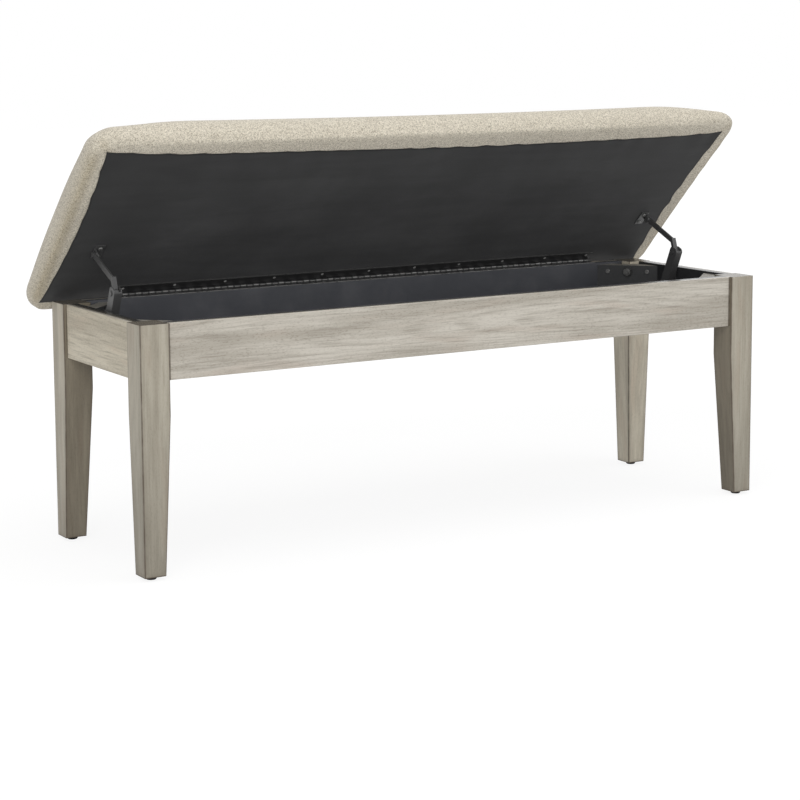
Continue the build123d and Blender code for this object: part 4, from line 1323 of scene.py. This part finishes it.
@dataclass(frozen=True)
class Fittings:
    """The bench's own wood and metal pieces, which keep their shapes and get their finishes."""

    long_rail: RailWood = RailWood(Grain.ALONG_BENCH)
    end_rail: RailWood = RailWood(Grain.ACROSS_BENCH, cast=(1.15, 1.12, 1.03), half=0.129, face=0.605,
                                  inside=(0.0215, 0.0220, 0.0235), scuffed=(0.034, 0.0345, 0.036))
    black: Metal = Metal("black_oxide", (0.070, 0.070, 0.0702), (0.160, 0.159, 0.155), (0.28, 0.44), 0.0)
    washer: Metal = Metal("black_washer", (0.012, 0.012, 0.0122), (0.050, 0.049, 0.048), (0.30, 0.46), 0.0)
    steel: Metal = Metal("dark_steel", (0.175, 0.173, 0.168), (0.420, 0.415, 0.400), (0.12, 0.24), 0.3)
    screw: Metal = Metal("screw_steel", (0.230, 0.228, 0.222), (0.480, 0.475, 0.460), (0.14, 0.28), 0.3)
    hinge_screw: Metal = Metal("hinge_screw_steel", (0.560, 0.556, 0.540), (0.700, 0.695, 0.680),
                               (0.24, 0.38), 0.0)

    def finishes(self) -> dict[str, bpy.types.Material]:
        """Makes the finish of each kind of piece.

        Returns:
            Materials by the record's name for the finish, or by the kind of piece.
        """
        return {
            "long_rail": self.long_rail.material(),
            "end_rail": self.end_rail.material(),
            "leg": LegWood(Grain.UPRIGHT).material(),
            "dark_block": DarkPaint("block_paint", raw_top=True).material(),
            "dark_panel": DarkPaint("panel_paint").material(),
            "board": Plywood().material(),
            "glide": Nylon().material(),
            "steel": self.steel.material(),
            "black_metal": self.black.material(),
            "screws": self.screw.material(),
            "hinge_screws": self.hinge_screw.material(),
            "washers": self.washer.material(),
            "hinge_lower_leaf": HingeSteel().material("hinge_steel_lower", 1.0, -1.0),
            "hinge_upper_leaf": HingeSteel().material("hinge_steel_upper", 0.7, 1.0),
        }

    def dress(self, nodes: dict, slots: dict[str, str]) -> None:
        """Gives each piece that still shows its finish.

        Args:
            nodes: The bench's pieces by name.
            slots: The record's finish of each piece.
        """
        finishes = self.finishes()
        for name, node in nodes.items():
            kind = self.kind(name, slots[name])
            if kind in finishes:
                node.data.materials.clear()
                node.data.materials.append(finishes[kind])
                LOG.info("%s: %s", name, finishes[kind].name)

    @staticmethod
    def kind(name: str, slot: str) -> str:
        """Which finish a piece gets.

        Args:
            name: Name of the piece.
            slot: The record's finish of the piece.

        Returns:
            A key of the finishes.
        """
        if name.endswith("_leaf"):
            return name
        if name.startswith("hinge") and name.endswith("_screws"):
            return "hinge_screws"
        endings = (("_leg", "leg"), ("_end_rail", "end_rail"), ("_rail", "long_rail"), ("_screws", "screws"),
                   ("_washers", "washers"))
        for ending, kind in endings:
            if name.endswith(ending):
                return kind
        return slot


def standing(right: np.ndarray, up: np.ndarray, back: np.ndarray, place: np.ndarray) -> Matrix:
    """Matrix of a lamp or camera: its own three axes and its place, as columns."""
    columns = np.stack([right, up, back, place], axis=1)
    return Matrix([*columns.tolist(), [0.0, 0.0, 0.0, 1.0]])


@dataclass(frozen=True)
class Lamp:
    """A square soft lamp: where it hangs, the length of its sides, its power in watts and what it faces."""

    name: str
    place: Colour
    size: float
    power: float
    aim: Colour = (0.0, 0.0, 0.4)

    def hang(self) -> bpy.types.Object:
        """Hangs the lamp so that it faces its aim.

        Returns:
            The lamp.
        """
        data = bpy.data.lights.new(self.name, "AREA")
        data.size = self.size
        data.energy = self.power
        lamp = bpy.data.objects.new(self.name, data)
        place = np.array(self.place)
        away = place - np.array(self.aim)
        away = away / np.linalg.norm(away)
        side = np.cross([0.0, 1.0, 0.01], away)
        side = side / np.linalg.norm(side)
        lamp.matrix_world = standing(side, np.cross(away, side), away, place)
        bpy.context.scene.collection.objects.link(lamp)
        return lamp


@dataclass(frozen=True)
class Studio:
    """Pale floor, white surround, soft lamps and the photograph's camera in a square picture."""

    eye: Colour = (-1.96149, -3.21321, 0.86251)
    yaw_deg: float = 30.94
    pitch_deg: float = -7.762
    roll_deg: float = -0.319
    focal_px: float = 2162.77
    centre_px: Span = (400.0, 320.0)
    picture_px: float = 800.0
    sensor_mm: float = 36.0
    ambient: float = 0.48
    floor_half: float = 14.0
    floor_pale: Colour = (0.86, 0.86, 0.86)
    floor_white: float = 0.82
    floor_glow: float = 1.07
    floor_squeeze: Colour = (0.55, 1.0, 1.0)
    fade: Span = (0.75, 1.7)
    lamps: tuple[Lamp, ...] = (
        Lamp("front_lamp", (-2.9, -3.15, 2.45), 2.2, 57.0),
        Lamp("top_lamp", (0.3, -0.8, 3.6), 2.8, 50.0),
        Lamp("right_lamp", (3.4, -1.8, 1.8), 1.8, 13.0),
        Lamp("low_lamp", (-1.2, -4.4, 0.8), 2.0, 18.0),
    )

    def camera(self) -> bpy.types.Object:
        """Sets up the camera from its place, its turn, and the scale and centre of the picture.

        Returns:
            The camera.
        """
        yaw, pitch, roll = (math.radians(turn) for turn in (self.yaw_deg, self.pitch_deg, self.roll_deg))
        ahead = np.array([math.sin(yaw) * math.cos(pitch), math.cos(yaw) * math.cos(pitch), math.sin(pitch)])
        level = np.array([math.cos(yaw), -math.sin(yaw), 0.0])
        upright = np.cross(level, ahead)
        right = math.cos(roll) * level + math.sin(roll) * upright
        up = -math.sin(roll) * level + math.cos(roll) * upright
        data = bpy.data.cameras.new("photo_camera")
        data.sensor_width = self.sensor_mm
        data.lens = self.focal_px * self.sensor_mm / self.picture_px
        data.shift_x = (self.picture_px / 2 - self.centre_px[0]) / self.picture_px
        data.shift_y = (self.centre_px[1] - self.picture_px / 2) / self.picture_px
        data.clip_start = 0.05
        data.clip_end = 100.0
        camera = bpy.data.objects.new("photo_camera", data)
        camera.matrix_world = standing(right, up, -ahead, np.array(self.eye))
        bpy.context.scene.collection.objects.link(camera)
        bpy.context.scene.camera = camera
        return camera

    def seen_directly(self, nodes: bpy.types.Nodes, links: bpy.types.NodeLinks) -> Socket:
        """Tells what is seen from light that falls on things.

        Args:
            nodes: Nodes of the material or surround.
            links: Their links.

        Returns:
            1 for rays from the eye, or from a mirror or glass, and 0 for others.
        """
        path = nodes.new("ShaderNodeLightPath")
        total = path.outputs["Is Camera Ray"]
        for name in ("Is Glossy Ray", "Is Transmission Ray"):
            larger = nodes.new("ShaderNodeMath")
            larger.operation = "MAXIMUM"
            links.new(total, larger.inputs[0])
            links.new(path.outputs[name], larger.inputs[1])
            total = larger.outputs[0]
        return total

    def floor(self) -> bpy.types.Object:
        """Pale floor that keeps the bench's shadow, and turns to plain white away from the bench.

        The distance from the bench is measured on a floor squeezed along X, as the bench is long that way.

        Returns:
            The floor.
        """
        square = np.array([[-1.0, -1.0, 0.0], [1.0, -1.0, 0.0], [1.0, 1.0, 0.0], [-1.0, 1.0, 0.0]])
        corners = self.floor_half * square
        graph = Graph("studio_floor")
        seen = self.seen_directly(graph.nodes, graph.links)
        paint = graph.node("ShaderNodeBsdfDiffuse", {"Color": opaque(self.floor_pale)})
        white = graph.node("ShaderNodeEmission", {"Color": (1.0, 1.0, 1.0, 1.0), "Strength": self.floor_glow})
        across = graph.scaled(graph.place(), self.floor_squeeze)
        away = graph.node("ShaderNodeVectorMath", {0: across}, operation="LENGTH").outputs["Value"]
        white_share = graph.span(graph.step(away, *self.fade), self.floor_white, 1.0)
        share = graph.share(seen, white_share)
        mixed = graph.node("ShaderNodeMixShader", {0: share, 1: paint.outputs[0], 2: white.outputs[0]})
        graph.links.new(mixed.outputs[0], graph.output.inputs["Surface"])
        floor = link("studio_floor", mesh_of("studio_floor", corners, [[0, 1, 2, 3]]), graph.material)
        return floor

    def surround(self) -> None:
        """White surround that lights the bench evenly."""
        world = bpy.data.worlds.new("studio_surround")
        world.use_nodes = True
        nodes, links = world.node_tree.nodes, world.node_tree.links
        nodes.clear()
        soft = nodes.new("ShaderNodeBackground")
        soft.inputs["Strength"].default_value = self.ambient
        white = nodes.new("ShaderNodeBackground")
        for light in (soft, white):
            light.inputs["Color"].default_value = (1.0, 1.0, 1.0, 1.0)
        mix = nodes.new("ShaderNodeMixShader")
        out = nodes.new("ShaderNodeOutputWorld")
        links.new(self.seen_directly(nodes, links), mix.inputs[0])
        links.new(soft.outputs[0], mix.inputs[1])
        links.new(white.outputs[0], mix.inputs[2])
        links.new(mix.outputs[0], out.inputs["Surface"])
        bpy.context.scene.world = world

    def build(self) -> None:
        """Sets up the floor, the surround, the lamps and the camera."""
        self.camera()
        self.floor()
        self.surround()
        for lamp in self.lamps:
            lamp.hang()
        bpy.context.scene.view_settings.view_transform = "Standard"


def main() -> None:
    """Builds the bench's soft pieces, dresses the rest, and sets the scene."""
    logging.basicConfig(level=logging.INFO, format="%(message)s")
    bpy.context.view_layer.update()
    slots = {row["node"]: row["material_slot"] for row in frame["record"]["subparts"]}
    seat = Seat().fabric(Tweed().material())
    LOG.info("%s: %d points", seat.name, len(seat.data.vertices))
    cover = DustCover().cloth(DustCloth().material())
    LOG.info("%s: %d points", cover.name, len(cover.data.vertices))
    Fittings().dress(frame["nodes"], slots)
    Studio().build()
    bpy.context.view_layer.update()


if __name__ == "__main__":
    main()
